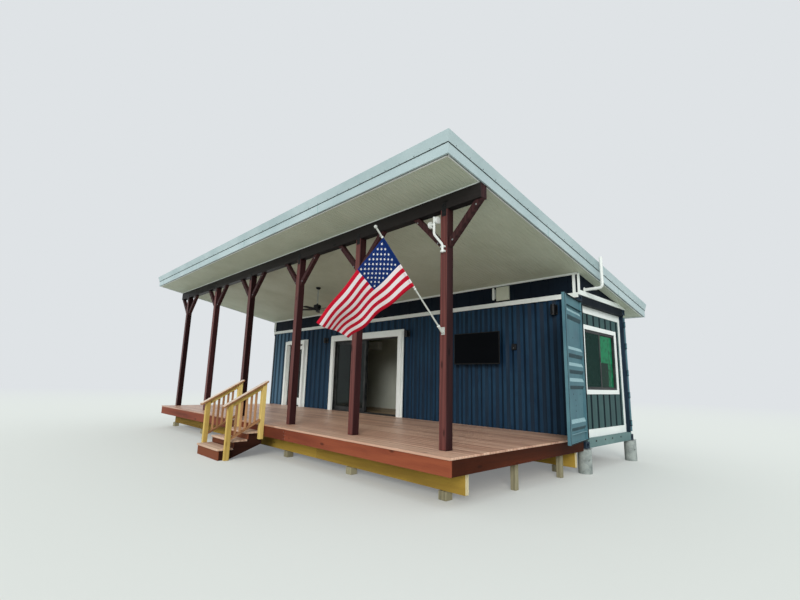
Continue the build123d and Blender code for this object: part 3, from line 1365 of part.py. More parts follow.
def wall_boxes():
    """Small boxes on the porch wall: a cream cover, an outlet box and a slim sensor."""
    boxes = []
    for far, width, z, height, depth in (CREAM_BOX, OUTLET_BOX, SENSOR_BOX):
        face = WALL_INSET if z < TOP_Z - TOP_RAIL else 0.0
        boxes.append(block(-far, -far + width, face - depth, face, z, z + height))
    return boxes


def vent_pipe():
    """Pipe out of the near gable, with one elbow, up past the roof's edge."""
    start = (-5.0, VENT_Y, VENT_Z)
    bend_out = (VENT_X - VENT_BEND, VENT_Y, VENT_Z)
    path = Line(start, bend_out)
    arc = TangentArc(bend_out, (VENT_X, VENT_Y, VENT_Z + VENT_BEND), tangent=(1, 0, 0))
    rise = Line((VENT_X, VENT_Y, VENT_Z + VENT_BEND), (VENT_X, VENT_Y, VENT_TOP))
    route = Wire([path.edge(), arc.edge(), rise.edge()])
    section = Plane(origin=start, z_dir=(1, 0, 0)) * Circle(VENT_RADIUS)
    return sweep(section, path=route)


def post_arm():
    """Bent pipe arm on the near post, with two clamps and two round heads."""
    y = -POST_FRONT - ARM_STANDOFF
    x = -POST_PLACES[0]
    points = [(x, y, ARM_FOOT_Z), (x, y, ARM_KNEE_Z), (x - ARM_OFFSET, y, ARM_BEND_Z),
              (x - ARM_OFFSET, y, ARM_TOP_Z)]
    route = FilletPolyline(*points, radius=90)
    arm = sweep(Plane(origin=points[0], z_dir=(0, 0, 1)) * Circle(ARM_RADIUS), path=route)
    for z in (ARM_FOOT_Z + 20, ARM_KNEE_Z - 30):
        arm += block(x - 36, x + 36, -POST_FRONT, y - 8, z - 12, z + 12)
    for side, drop in ((1, 70), (-1, 120)):
        z = ARM_TOP_Z - drop
        centre = x - ARM_OFFSET + side * (DISC_REACH + DISC_THICKNESS / 2)
        arm += rod((x - ARM_OFFSET, y, z), (centre, y, z), 10)
        arm += Pos(centre, y, z) * Rot(0, 90, 0) * Cylinder(DISC_RADIUS, DISC_THICKNESS)
    return arm


def pole_direction():
    """Unit direction of the flag pole, out from the porch and up."""
    angle = math.radians(POLE_ANGLE)
    return Vector(0, -math.cos(angle), math.sin(angle))


def pole_base():
    """Foot of the flag pole in its bracket."""
    return Vector(-POST_PLACES[0], -POST_FRONT - 40, POLE_BASE_Z)


def flag_pole():
    """Flag pole with a ball at its tip, in a cast bracket on the near post."""
    base = pole_base()
    tip = base + pole_direction() * POLE_LENGTH
    pole = rod(tuple(base), tuple(tip), POLE_RADIUS)
    pole += Pos(*tip) * Sphere(POLE_RADIUS * 1.9)
    x = base.X
    pole += block(x - BRACKET_WIDTH / 2, x + BRACKET_WIDTH / 2, -POST_FRONT - 10, -POST_FRONT,
                  POLE_BASE_Z - BRACKET_HEIGHT / 2, POLE_BASE_Z + BRACKET_HEIGHT / 2)
    socket_start = base - pole_direction() * 30
    socket_end = base + pole_direction() * 95
    pole += rod(tuple(socket_start), tuple(socket_end), POLE_RADIUS * 1.7)
    return pole


def flag():
    """Flag as one waved sheet, flying down and away from the pole."""
    along = pole_direction()
    fly = Vector(*FLAG_FLY_DIRECTION).normalized()
    fly = (fly - along * fly.dot(along)).normalized()
    normal = along.cross(fly)
    tip = pole_base() + along * (POLE_LENGTH - FLAG_TOP_MARGIN)
    start = tip + normal * 0 + fly * (POLE_RADIUS + 0.3)
    line = []
    for k in range(FLAG_STATIONS + 1):
        share = k / FLAG_STATIONS
        swing = FLAG_WAVE * share * math.sin(2 * math.pi * FLAG_WAVES * share)
        line.append((share * FLAG_FLY, swing))
    front = [start + fly * s + normal * (w + FLAG_THICKNESS / 2) for s, w in line]
    back = [start + fly * s + normal * (w - FLAG_THICKNESS / 2) for s, w in reversed(line)]
    face = make_face(Polyline(*[tuple(p) for p in front + back], close=True))
    return Solid.extrude(face.face(), along * -FLAG_HOIST)


def solids_of(shape):
    """Every solid in a shape or a list of shapes."""
    shapes = shape if isinstance(shape, list) else [shape]
    return [solid for item in shapes for solid in item.solids()]


def build():
    """All nodes by name, in the working frame."""
    nodes = {
        "concrete_piers": concrete_piers(),
        "corner_posts": corner_posts(),
        "side_rails": side_rails(),
        "cross_members": end_frames() + cross_members(),
        "container_floor": container_floor(),
        "front_wall": front_wall(),
        "back_wall": back_wall(),
        "far_end_wall": far_end_wall(),
        "container_roof": container_roof(),
        "wall_lining": lining(),
        "ceiling_lining": ceiling_lining(),
        "end_wall": end_wall(),
        "end_trim": end_trim(),
        "opening_frames": [window_frame()] + door_frames(),
        "fixed_glass": fixed_glass(),
        "door_trims": door_trims(),
        "entry_door": entry_door(),
        "entry_glass": entry_glass(),
        "patio_slider": patio_slider(),
        "slider_glass": slider_glass(),
        "cargo_door_front": swung(cargo_leaf(-1), -1),
        "front_lock_bars": [swung(bar, -1) for bar in lock_bars(-1)],
        "cargo_door_back": swung(cargo_leaf(1), 1),
        "back_lock_bars": [swung(bar, 1) for bar in lock_bars(1)],
        "knee_wall": knee_wall(),
        "knee_trim": knee_trim(),
        "soffit": soffit(),
        "rafters": rafters(),
        "fascia": fascia(),
        "roof_panels": roof_panels(),
        "gutter": gutter(),
        "porch_beam": porch_beam(),
        "porch_posts": porch_posts(),
        "knee_braces": knee_braces(),
        "deck_boards": deck_boards(),
        "deck_rim": deck_rim(),
        "deck_joists": deck_joists(),
        "deck_girders": deck_girders(),
        "stair_carriage": stair_carriage(),
        "stair_treads": stair_treads(),
        "stair_railings": stair_railings(),
        "fan_mount": fan_mount(),
        "fan_rotor": fan_rotor(),
        "wall_lamps": wall_lamps(),
        "wall_fittings": [wall_screen(), air_unit()] + wall_boxes(),
        "vent_pipe": vent_pipe(),
        "post_arm": post_arm(),
        "flag_pole": flag_pole(),
        "flag": flag(),
    }
    return {name: solids_of(shape) for name, shape in nodes.items()}


def overall_box(nodes):
    """Smallest and largest corner of the whole cabin."""
    boxes = [solid.bounding_box() for solids in nodes.values() for solid in solids]
    low = Vector(*[min(getattr(box.min, axis) for box in boxes) for axis in "XYZ"])
    high = Vector(*[max(getattr(box.max, axis) for box in boxes) for axis in "XYZ"])
    return low, high


def write(nodes):
    """Centre the cabin over the origin and write one file per node."""
    os.makedirs("parts", exist_ok=True)
    low, high = overall_box(nodes)
    shift = Vector(-round((low.X + high.X) / 2, 1), -round((low.Y + high.Y) / 2, 1), 0)
    for name, solids in nodes.items():
        moved = [solid.moved(Location(shift)) for solid in solids]
        export_step(Compound(moved), f"parts/{name}.step")
    print("overall size", high - low, "moved by", shift)
    for side, leaf in ((-1, "front"), (1, "back")):
        x, y = hinge_axis(side)
        print(f"{leaf} cargo door hinge", x + shift.X, y + shift.Y)
    x, y = entry_axis()
    print("entry door hinge", x + shift.X, y + shift.Y)
    print("fan axis", -FAN_X + shift.X, -FAN_Y + shift.Y, fan_hub_top())


write(build())
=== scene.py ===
"""Looks of a forty-foot container made into a cabin with a roofed timber porch.

Every size is in metres in the cabin's own frame: x = 0 is the door end and the far end lies at -x;
y = 0 is the long wall behind the porch, with the porch at -y; z = 0 is the level ground. Site moves
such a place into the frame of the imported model.
"""

from __future__ import annotations

import logging
import math
import random
from dataclasses import dataclass, field
from enum import Enum
from typing import Iterable, Sequence

import bmesh
import bpy
from mathutils import Matrix, Vector

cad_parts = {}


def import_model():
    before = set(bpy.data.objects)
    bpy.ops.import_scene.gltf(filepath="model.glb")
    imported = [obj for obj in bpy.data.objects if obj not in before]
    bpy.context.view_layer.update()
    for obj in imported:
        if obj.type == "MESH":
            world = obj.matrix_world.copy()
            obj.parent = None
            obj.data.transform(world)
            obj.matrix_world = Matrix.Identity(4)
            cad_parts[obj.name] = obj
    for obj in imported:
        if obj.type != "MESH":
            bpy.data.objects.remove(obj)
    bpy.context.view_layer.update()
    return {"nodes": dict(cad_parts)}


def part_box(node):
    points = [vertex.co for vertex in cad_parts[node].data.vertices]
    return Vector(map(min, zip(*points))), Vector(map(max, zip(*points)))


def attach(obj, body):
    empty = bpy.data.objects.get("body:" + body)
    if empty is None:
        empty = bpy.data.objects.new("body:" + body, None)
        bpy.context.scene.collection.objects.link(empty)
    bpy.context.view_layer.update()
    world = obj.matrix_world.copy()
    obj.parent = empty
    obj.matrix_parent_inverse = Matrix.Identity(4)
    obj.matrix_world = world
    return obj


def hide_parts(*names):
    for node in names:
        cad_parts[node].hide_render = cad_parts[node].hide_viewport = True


LOG = logging.getLogger("cabin")
BUILDING = "building"
MM = 0.001
# The band texture turns by this many radians a metre at scale 1.
BAND_RADIANS = 20.0
SOUTH = (0, -1, 0)

Tree = bpy.types.NodeTree
Node = bpy.types.Node
Piece = bpy.types.Object
Nodes = dict[str, bpy.types.Object]
Socket = bpy.types.NodeSocket
Pair = tuple[float, float]
Spot = tuple[float, float, float]


class Axis(Enum):
    """Direction in which a board, rib or bead runs."""

    ALONG = 0
    ACROSS = 1
    UP = 2


class Sheen(Enum):
    """How smooth a paint or stain dries."""

    FLAT = 0.85
    EGGSHELL = 0.6
    SATIN = 0.42


def linear(code: str) -> tuple[float, float, float, float]:
    """Turn an sRGB hex colour into linear light.

    Args:
        code: six hex digits with a leading hash.

    Returns:
        Linear red, green and blue, with full opacity.
    """
    parts = [int(code[k:k + 2], 16) / 255 for k in (1, 3, 5)]
    red, green, blue = [p / 12.92 if p <= 0.04045 else ((p + 0.055) / 1.055) ** 2.4 for p in parts]
    return (red, green, blue, 1.0)


def add_node(tree: Tree, kind: str, settings: dict | None = None, links: dict | None = None) -> Node:
    """Add one node with its settings and incoming links.

    Args:
        tree: node tree that takes the node.
        kind: Blender's name of the node's type after its ShaderNode prefix.
        settings: attribute names, or input names or numbers, with their values.
        links: input names or numbers with the output sockets that feed them.

    Returns:
        The new node.
    """
    node = tree.nodes.new("ShaderNode" + kind)
    for name, value in (settings or {}).items():
        if isinstance(name, str) and hasattr(node, name):
            setattr(node, name, value)
        else:
            node.inputs[name].default_value = value
    for name, socket in (links or {}).items():
        tree.links.new(socket, node.inputs[name])
    return node


def ramp(tree: Tree, source: Socket, stops: Sequence[tuple[float, str]]) -> Socket:
    """Map a value to colours.

    Args:
        tree: node tree that takes the ramp.
        source: the value that drives it.
        stops: positions with sRGB hex colours.

    Returns:
        The ramp's colour output.
    """
    node = add_node(tree, "ValToRGB", links={"Fac": source})
    elements = node.color_ramp.elements
    while len(elements) < len(stops):
        elements.new(0.5)
    for element, (place, code) in zip(elements, stops):
        element.position = place
        element.color = linear(code)
    return node.outputs["Color"]


def stain(tree: Tree, under: Socket, code: str, driver: Socket, start: float, full: float,
          most: float = 1.0) -> Socket:
    """Blend a colour over another while a driver goes from one level to a second.

    Args:
        tree: node tree that takes the nodes.
        under: colour that lies below.
        code: sRGB hex colour of the stain.
        driver: value that says where the stain lies.
        start: level at which it begins.
        full: level at which it is strongest.
        most: share of the stain there.

    Returns:
        The blended colour.
    """
    share = add_node(tree, "MapRange", {"From Min": start, "From Max": full, "To Max": most}, {"Value": driver})
    return add_node(tree, "Mix", {"data_type": "RGBA", "B": linear(code)},
                    {"Factor": share.outputs["Result"], "A": under}).outputs["Result"]


def blotch(tree: Tree, place: Socket, under: Socket, code: str, noise: Spot, span: Pair, most: float) -> Socket:
    """Stain a colour in the blotches of a noise of a size in millimetres, a detail and a roughness."""
    size_mm, detail, mix = noise
    cloud = add_node(tree, "TexNoise", {"Scale": 1 / (size_mm * MM), "Detail": detail, "Roughness": mix},
                     {"Vector": place})
    return stain(tree, under, code, cloud.outputs["Fac"], *span, most)


def roughen(tree: Tree, shader: Node, driver: Socket, smooth: float, rough: float, span: Pair = (0.0, 1.0)) -> None:
    """Let the shader's roughness go from smooth to rough while a driver crosses a span."""
    spread = add_node(tree, "MapRange",
                      {"From Min": span[0], "From Max": span[1], "To Min": smooth, "To Max": rough},
                      {"Value": driver})
    tree.links.new(spread.outputs["Result"], shader.inputs["Roughness"])


def relief(tree: Tree, shader: Node, height: Socket, depth_mm: float, strength: float) -> None:
    """Feed a bump of a given depth in millimetres to the shader."""
    bump = add_node(tree, "Bump", {"Strength": strength, "Distance": depth_mm * MM}, {"Height": height})
    tree.links.new(bump.outputs["Normal"], shader.inputs["Normal"])


def paper_rays(tree: Tree) -> Socket:
    """One for rays from the camera, off a mirror or through glass, which see the plain backdrop.

    Args:
        tree: node tree that takes the nodes.

    Returns:
        A value of 0 or 1.
    """
    path = add_node(tree, "LightPath")
    seen = path.outputs["Is Camera Ray"]
    for kind in ("Is Glossy Ray", "Is Transmission Ray"):
        seen = add_node(tree, "Math", {"operation": "MAXIMUM"}, {0: seen, 1: path.outputs[kind]}).outputs["Value"]
    return seen


class Finish:
    """A surface finish that can make its material once."""

    name: str
    slot: str

    def dress(self, tree: Tree, shader: Node, place: Socket) -> None:
        """Fill the shader's sockets and feed its patterns from a place on the object."""
        raise NotImplementedError

    def material(self) -> bpy.types.Material:
        """Make the material, or return it when it is there already."""
        known = bpy.data.materials.get(self.name)
        if known is not None:
            return known
        made = bpy.data.materials.new(self.name)
        made.use_nodes = True
        tree = made.node_tree
        tree.nodes.clear()
        shader = add_node(tree, "BsdfPrincipled")
        add_node(tree, "OutputMaterial", links={"Surface": shader.outputs["BSDF"]})
        self.dress(tree, shader, add_node(tree, "TexCoord").outputs["Object"])
        return made


@dataclass(frozen=True)
class RolledPaint(Finish):
    """Alkyd paint rolled on steel or board: a broad fade, washed-down dust and orange peel."""

    name: str
    slot: str
    colour: str
    worn: str
    grime_and_underside_shade: str = "#2a2c2b"
    sheen: Sheen = Sheen.EGGSHELL
    patch_mm: float = 900.0
    streak_mm: float = 60.0
    peel_mm: float = 9.0
    speck_mm: float = 26.3158
    rust: float = 0.0
    rust_mm: float = 153.846
    rust_colour: str = "#5b3a26"
    specular: float = 0.3
    above: str = ""
    above_m: float = 2.0
    painted_top_light: str = ""
    flank: str = ""
    far_side_light: str = ""
    far_side_light_span: Pair = (-4.2, -5.3)

    def dress(self, tree: Tree, shader: Node, place: Socket) -> None:
        """Layer fade, painted light and shade where set, streaks and specks over the paint's colour."""
        fade = add_node(tree, "TexNoise",
                        {"Scale": 1 / (self.patch_mm * MM), "Detail": 5.0, "Roughness": 0.62},
                        {"Vector": place}).outputs["Fac"]
        body = ramp(tree, fade, [(0.34, self.colour), (0.72, self.worn)])
        spot = add_node(tree, "SeparateXYZ", links={"Vector": place})
        normal = add_node(tree, "NewGeometry").outputs["Normal"]
        facing = add_node(tree, "SeparateXYZ", links={"Vector": normal})
        if self.painted_top_light:
            # Painted light: faces that look up take a lighter colour as a painted highlight, and faces that look down
            # take the grime colour as painted shade.
            for start, full, code in ((0.15, 0.5, self.painted_top_light), (-0.15, -0.5, self.grime_and_underside_shade)):
                body = stain(tree, body, code, facing.outputs["Z"], start, full, 0.75)
        if self.far_side_light:
            # Painted light: the paint turns lighter towards the far end, standing in for low sun under the roof
            # there.
            body = stain(tree, body, self.far_side_light, spot.outputs["X"], *self.far_side_light_span, 0.8)
        if self.flank:
            # Painted shade: the ribs' slopes, which face sideways, turn darker.
            slope = add_node(tree, "Math", {"operation": "ABSOLUTE"}, {0: facing.outputs["X"]})
            body = stain(tree, body, self.flank, slope.outputs["Value"], 0.2, 0.45, 0.7)
        # Rain draws dust down the sheet, so the streaks are long in z and narrow across.
        stretch = add_node(tree, "Mapping", {"Scale": (1.0, 1.0, 0.06)}, {"Vector": place})
        body = blotch(tree, stretch.outputs["Vector"], body, self.worn,
                      (self.streak_mm, 4.0, 0.55), (0.5, 0.78), 0.42)
        body = blotch(tree, place, body, self.grime_and_underside_shade, (self.speck_mm, 6.0, 0.7), (0.66, 0.74), 0.5)
        if self.above:
            # The rail under the roof was rolled with the darker wall paint.
            body = stain(tree, body, self.above, spot.outputs["Z"], self.above_m, self.above_m + 0.1 * MM)
        if self.rust > 0:
            body = blotch(tree, place, body, self.rust_colour, (self.rust_mm, 9.0, 0.78), (0.655, 0.7), self.rust)
        tree.links.new(body, shader.inputs["Base Color"])
        roughen(tree, shader, fade, self.sheen.value - 0.08, min(1.0, self.sheen.value + 0.16), (0.3, 0.75))
        shader.inputs["Specular IOR Level"].default_value = self.specular
        peel = add_node(tree, "TexNoise", {"Scale": 1 / (self.peel_mm * MM), "Detail": 2.0}, {"Vector": place})
        relief(tree, shader, peel.outputs["Fac"], 0.5, 0.35)


@dataclass(frozen=True)
class SawnTimber(Finish):
    """Softwood boards: growth rings drawn out along the board, knots, and one tone a board."""

    name: str
    slot: str
    pale: str
    mid: str
    dark: str
    sheen: Sheen = Sheen.FLAT
    ring_mm: float = 11.0
    relief_mm: float = 0.9
    bend_mm: float = 142.857
    fibre_mm: float = 3.84615
    weather_mm: float = 769.231
    weathering: float = 0.25
    specular: float = 0.35

    def dress(self, tree: Tree, shader: Node, place: Socket) -> None:
        """Feed grain, knots and board tone from the board's own coordinates."""
        board = add_node(tree, "Attribute", {"attribute_name": "grain"}).outputs["Vector"]
        tone = add_node(tree, "Attribute", {"attribute_name": "tone"}).outputs["Fac"]
        # Rings and fibres are drawn out along the board; there is about one knot every half metre.
        ring_place, fibre_place, knot_place = [
            add_node(tree, "Mapping", {"Scale": scale}, {"Vector": board}).outputs["Vector"]
            for scale in ((0.07, 1.0, 1.0), (0.02, 1.0, 1.0), (2.0, 5.5, 5.5))]
        bend = add_node(tree, "TexNoise", {"Scale": 1 / (self.bend_mm * MM), "Detail": 3.0, "Distortion": 0.3},
                        {"Vector": ring_place})
        warp = add_node(tree, "VectorMath", {"operation": "MULTIPLY_ADD", 1: (0.05, 0.05, 0.05)},
                        {0: bend.outputs["Color"], 2: ring_place})
        rings = add_node(tree, "TexWave",
                         {"bands_direction": "Y", "Scale": 1 / (self.ring_mm * MM) / BAND_RADIANS,
                          "Distortion": 5.5, "Detail": 3.0, "Detail Scale": 1.6},
                         {"Vector": warp.outputs["Vector"]})
        fibre = add_node(tree, "TexNoise", {"Scale": 1 / (self.fibre_mm * MM), "Detail": 4.0, "Roughness": 0.7},
                         {"Vector": fibre_place}).outputs["Fac"]
        mixed = add_node(tree, "Math", {"operation": "MULTIPLY_ADD", 1: 0.62},
                         {0: rings.outputs["Fac"], 2: fibre}).outputs["Value"]
        toned = add_node(tree, "Math", {"operation": "ADD"}, {0: mixed, 1: tone})
        level = add_node(tree, "MapRange", {"From Min": 0.25, "From Max": 1.9}, {"Value": toned.outputs["Value"]})
        wood = ramp(tree, level.outputs["Result"], [(0.0, self.dark), (0.45, self.mid), (1.0, self.pale)])
        cell = add_node(tree, "TexVoronoi", {"Scale": 1.0, "Randomness": 0.95}, {"Vector": knot_place})
        wood = stain(tree, wood, self.dark, cell.outputs["Distance"], 0.15, 0.07, 0.8)
        wood = blotch(tree, place, wood, self.pale, (self.weather_mm, 6.0, 0.65), (0.42, 0.72), self.weathering)
        tree.links.new(wood, shader.inputs["Base Color"])
        roughen(tree, shader, fibre, max(0.1, self.sheen.value - 0.15), min(1.0, self.sheen.value + 0.1))
        shader.inputs["Specular IOR Level"].default_value = self.specular
        relief(tree, shader, mixed, self.relief_mm, 0.55)


@dataclass(frozen=True)
class CoatedSheet(Finish):
    """Coil-coated steel: an even baked coat with slight oil-canning and water marks."""

    name: str
    slot: str
    colour: str
    shade: str
    roughness: float = 0.38
    specular: float = 0.5
    marks: str = "#6f7a76"
    cloud_mm: float = 1111.11
    mark_mm: float = 71.4286
    ripple_mm: float = 312.5

    def dress(self, tree: Tree, shader: Node, place: Socket) -> None:
        """Feed the coat's slow tone change, its water marks and its ripples."""
        cloud, marks = [add_node(tree, "TexNoise", {"Scale": 1 / (size * MM), "Detail": detail, "Roughness": mix},
                                 {"Vector": place}).outputs["Fac"]
                        for size, detail, mix in ((self.cloud_mm, 5.0, 0.6), (self.mark_mm, 7.0, 0.7))]
        colour = ramp(tree, cloud, [(0.32, self.shade), (0.62, self.colour)])
        tree.links.new(stain(tree, colour, self.marks, marks, 0.62, 0.75, 0.16), shader.inputs["Base Color"])
        shader.inputs["Specular IOR Level"].default_value = self.specular
        roughen(tree, shader, marks, self.roughness - 0.06, self.roughness + 0.14)
        ripple = add_node(tree, "TexNoise", {"Scale": 1 / (self.ripple_mm * MM), "Detail": 1.0}, {"Vector": place})
        relief(tree, shader, ripple.outputs["Fac"], 4.0, 0.3)


@dataclass(frozen=True)
class CastConcrete(Finish):
    """Concrete cast in a round form: grey, with air holes, damp patches and faint form turns."""

    name: str = "cast_concrete"
    slot: str = "concrete"
    dry: str = "#a2aaa6"
    damp: str = "#717977"
    hollow: str = "#3f4441"
    form_turn_mm: float = 105.0
    patch_mm: float = 142.857
    hole_mm: float = 21.7391

    def dress(self, tree: Tree, shader: Node, place: Socket) -> None:
        """Feed patches, air holes and the form's spiral seam."""
        patch = add_node(tree, "TexNoise", {"Scale": 1 / (self.patch_mm * MM), "Detail": 8.0, "Roughness": 0.7},
                         {"Vector": place})
        colour = ramp(tree, patch.outputs["Fac"], [(0.3, self.damp), (0.62, self.dry)])
        hole = add_node(tree, "TexVoronoi", {"Scale": 1 / (self.hole_mm * MM), "Randomness": 1.0}, {"Vector": place})
        pit = add_node(tree, "MapRange",
                       {"From Min": 0.05, "From Max": 0.14, "To Min": 0.85, "To Max": 0.0},
                       {"Value": hole.outputs["Distance"]})
        pitted = add_node(tree, "Mix", {"data_type": "RGBA", "B": linear(self.hollow)},
                          {"Factor": pit.outputs["Result"], "A": colour})
        tree.links.new(pitted.outputs["Result"], shader.inputs["Base Color"])
        shader.inputs["Roughness"].default_value = 0.92
        turn = add_node(tree, "TexWave",
                        {"bands_direction": "Z", "wave_profile": "SAW",
                         "Scale": 1 / (self.form_turn_mm * MM) / BAND_RADIANS, "Distortion": 0.6},
                        {"Vector": place})
        rise = add_node(tree, "Math", {"operation": "MULTIPLY_ADD", 1: -0.6},
                        {0: pit.outputs["Result"], 2: turn.outputs["Fac"]})
        sandy = add_node(tree, "Math", {"operation": "MULTIPLY_ADD", 1: 0.5},
                         {0: patch.outputs["Fac"], 2: rise.outputs["Value"]})
        relief(tree, shader, sandy.outputs["Value"], 2.2, 0.5)


@dataclass(frozen=True)
class MouldedPlastic(Finish):
    """Moulded plastic: one body colour with a fine moulded grain and handling marks."""

    name: str
    slot: str
    colour: str
    roughness: float = 0.4
    specular: float = 0.3
    scuffed: str = "#8b8d88"
    cloud_mm: float = 200.0
    grain_mm: float = 2.38095

    def dress(self, tree: Tree, shader: Node, place: Socket) -> None:
        """Feed slight tone change, grain and gloss."""
        cloud = add_node(tree, "TexNoise", {"Scale": 1 / (self.cloud_mm * MM), "Detail": 6.0}, {"Vector": place})
        shade = add_node(tree, "MapRange", {"From Min": 0.35, "From Max": 0.7, "To Max": 0.12},
                         {"Value": cloud.outputs["Fac"]})
        mix = add_node(tree, "Mix",
                       {"data_type": "RGBA", "A": linear(self.colour), "B": linear(self.scuffed)},
                       {"Factor": shade.outputs["Result"]})
        tree.links.new(mix.outputs["Result"], shader.inputs["Base Color"])
        shader.inputs["Specular IOR Level"].default_value = self.specular
        roughen(tree, shader, cloud.outputs["Fac"], max(0.03, self.roughness - 0.08), self.roughness + 0.12)
        grain = add_node(tree, "TexNoise", {"Scale": 1 / (self.grain_mm * MM), "Detail": 2.0}, {"Vector": place})
        relief(tree, shader, grain.outputs["Fac"], 0.15, 0.2)


@dataclass(frozen=True)
class ZincSteel(Finish):
    """Zinc-plated steel: a grey metal with a broken spangle."""

    name: str = "zinc_plate"
    slot: str = "zinc_steel"
    colour: str = "#a9adac"
    dull: str = "#8b908f"
    flake_mm: float = 11.7647
    roughness: float = 0.38

    def dress(self, tree: Tree, shader: Node, place: Socket) -> None:
        """Feed the spangle to colour and roughness."""
        flake = add_node(tree, "TexVoronoi", {"Scale": 1 / (self.flake_mm * MM)}, {"Vector": place})
        grey = add_node(tree, "SeparateColor", links={"Color": flake.outputs["Color"]}).outputs["Red"]
        tree.links.new(ramp(tree, grey, [(0.0, self.dull), (1.0, self.colour)]), shader.inputs["Base Color"])
        shader.inputs["Metallic"].default_value = 0.9
        roughen(tree, shader, grey, self.roughness - 0.1, self.roughness + 0.15)


@dataclass(frozen=True)
class TintedGlass(Finish):
    """Float glass with a low-emissivity coat: mirror-smooth, dark behind, with a faint ripple."""

    name: str
    slot: str
    tint: str
    depth: str
    transmission: float = 0.35
    specular: float = 0.4
    mottle_mm: float = 380.0
    reflection_from_m: float = 0.0
    reflection_strip_m: float = 0.0
    ripple_mm: float = 588.235

    def dress(self, tree: Tree, shader: Node, place: Socket) -> None:
        """Feed the coat's uneven tint, any painted reflection and a slow ripple."""
        level = add_node(tree, "TexNoise",
                         {"Scale": 1 / (self.mottle_mm * MM), "Detail": 5.0, "Roughness": 0.65},
                         {"Vector": place}).outputs["Fac"]
        if self.reflection_from_m > 0:
            # A painted reflection of trees brightens the pane above this height and in a strip down its far side.
            axes = add_node(tree, "SeparateXYZ", links={"Vector": place})
            reflection_above, strip = [
                add_node(tree, "MapRange", {"From Min": low, "From Max": high, "To Min": -0.3, "To Max": most},
                         {"Value": axes.outputs[axis]}).outputs["Result"]
                for low, high, most, axis in ((self.reflection_from_m - 0.01, self.reflection_from_m + 0.01, 0.1, "Z"),
                                              (self.reflection_strip_m - 0.02, self.reflection_strip_m + 0.05, 0.0, "Y"))]
            cover = add_node(tree, "Math", {"operation": "MAXIMUM"}, {0: reflection_above, 1: strip})
            level = add_node(tree, "Math", {"operation": "ADD"},
                             {0: cover.outputs["Value"], 1: level}).outputs["Value"]
        colour = ramp(tree, level, [(0.3, self.depth), (0.62, self.tint)])
        tree.links.new(colour, shader.inputs["Base Color"])
        for socket, value in (("Roughness", 0.04), ("IOR", 1.52), ("Specular IOR Level", self.specular),
                              ("Transmission Weight", self.transmission)):
            shader.inputs[socket].default_value = value
        ripple = add_node(tree, "TexNoise", {"Scale": 1 / (self.ripple_mm * MM), "Detail": 0.0}, {"Vector": place})
        relief(tree, shader, ripple.outputs["Fac"], 1.5, 0.15)


@dataclass(frozen=True)
class WovenMesh(Finish):
    """Insect screen of black fibreglass yarn, drawn coarser than the real weave so that it shows."""

    name: str = "insect_screen"
    slot: str = "black_plastic"
    yarn: str = "#1f3833"
    yarn_mm: float = 4.0

    def dress(self, tree: Tree, shader: Node, place: Socket) -> None:
        """Open the mesh between its two sets of yarns."""
        sets = [add_node(tree, "TexWave",
                         {"bands_direction": way, "Scale": 1 / (self.yarn_mm * MM) / BAND_RADIANS},
                         {"Vector": place}).outputs["Fac"] for way in ("Y", "Z")]
        both = add_node(tree, "Math", {"operation": "MAXIMUM"}, dict(enumerate(sets)))
        cover = add_node(tree, "MapRange",
                         {"From Min": 0.45, "From Max": 0.75, "To Min": 0.3, "To Max": 0.95},
                         {"Value": both.outputs["Value"]})
        tree.links.new(cover.outputs["Result"], shader.inputs["Alpha"])
        for socket, value in (("Base Color", linear(self.yarn)), ("Roughness", 0.85), ("Specular IOR Level", 0.1)):
            shader.inputs[socket].default_value = value


@dataclass(frozen=True)
class FlagCloth(Finish):
    """Woven nylon flag: thirteen sewn stripes and a blue field, read from the cloth's own place."""

    name: str = "sewn_nylon"
    slot: str = "flag_cloth"
    red: str = "#c4132f"
    white: str = "#f1e6e9"
    blue: str = "#0f2c68"
    stripes: int = 13
    field_fly: float = 0.37
    field_stripes: float = 7.0
    fly_m: float = 1.46
    thread_mm: float = 3.0

    def dress(self, tree: Tree, shader: Node, place: Socket) -> None:
        """Choose stripe or field by the attribute cloth = (fly share, hoist share, 0)."""
        cloth = add_node(tree, "Attribute", {"attribute_name": "cloth"}).outputs["Vector"]
        axes = add_node(tree, "SeparateXYZ", links={"Vector": cloth})
        odd = axes.outputs["Y"]
        for settings in ({"operation": "MULTIPLY", 1: float(self.stripes)}, {"operation": "FLOOR"},
                         {"operation": "MODULO", 1: 2.0}):
            odd = add_node(tree, "Math", settings, {0: odd}).outputs["Value"]
        bars = add_node(tree, "Mix",
                        {"data_type": "RGBA", "A": linear(self.red), "B": linear(self.white)}, {"Factor": odd})
        inside = [add_node(tree, "Math", {"operation": "LESS_THAN", 1: end},
                           {0: axes.outputs[axis]}).outputs["Value"]
                  for end, axis in ((self.field_fly, "X"), (self.field_stripes / self.stripes, "Y"))]
        corner = add_node(tree, "Math", {"operation": "MULTIPLY"}, dict(enumerate(inside)))
        whole = add_node(tree, "Mix", {"data_type": "RGBA", "B": linear(self.blue)},
                         {"Factor": corner.outputs["Value"], "A": bars.outputs["Result"]})
        tree.links.new(whole.outputs["Result"], shader.inputs["Base Color"])
        shader.inputs["Roughness"].default_value = 0.8
        shader.inputs["Specular IOR Level"].default_value = 0.15
        threads = [add_node(tree, "TexWave",
                            {"bands_direction": way, "Scale": self.fly_m / (self.thread_mm * MM) / BAND_RADIANS},
                            {"Vector": cloth}).outputs["Fac"] for way in ("X", "Y")]
        weave = add_node(tree, "Math", {"operation": "ADD"}, dict(enumerate(threads)))
        relief(tree, shader, weave.outputs["Value"], 0.4, 0.3)


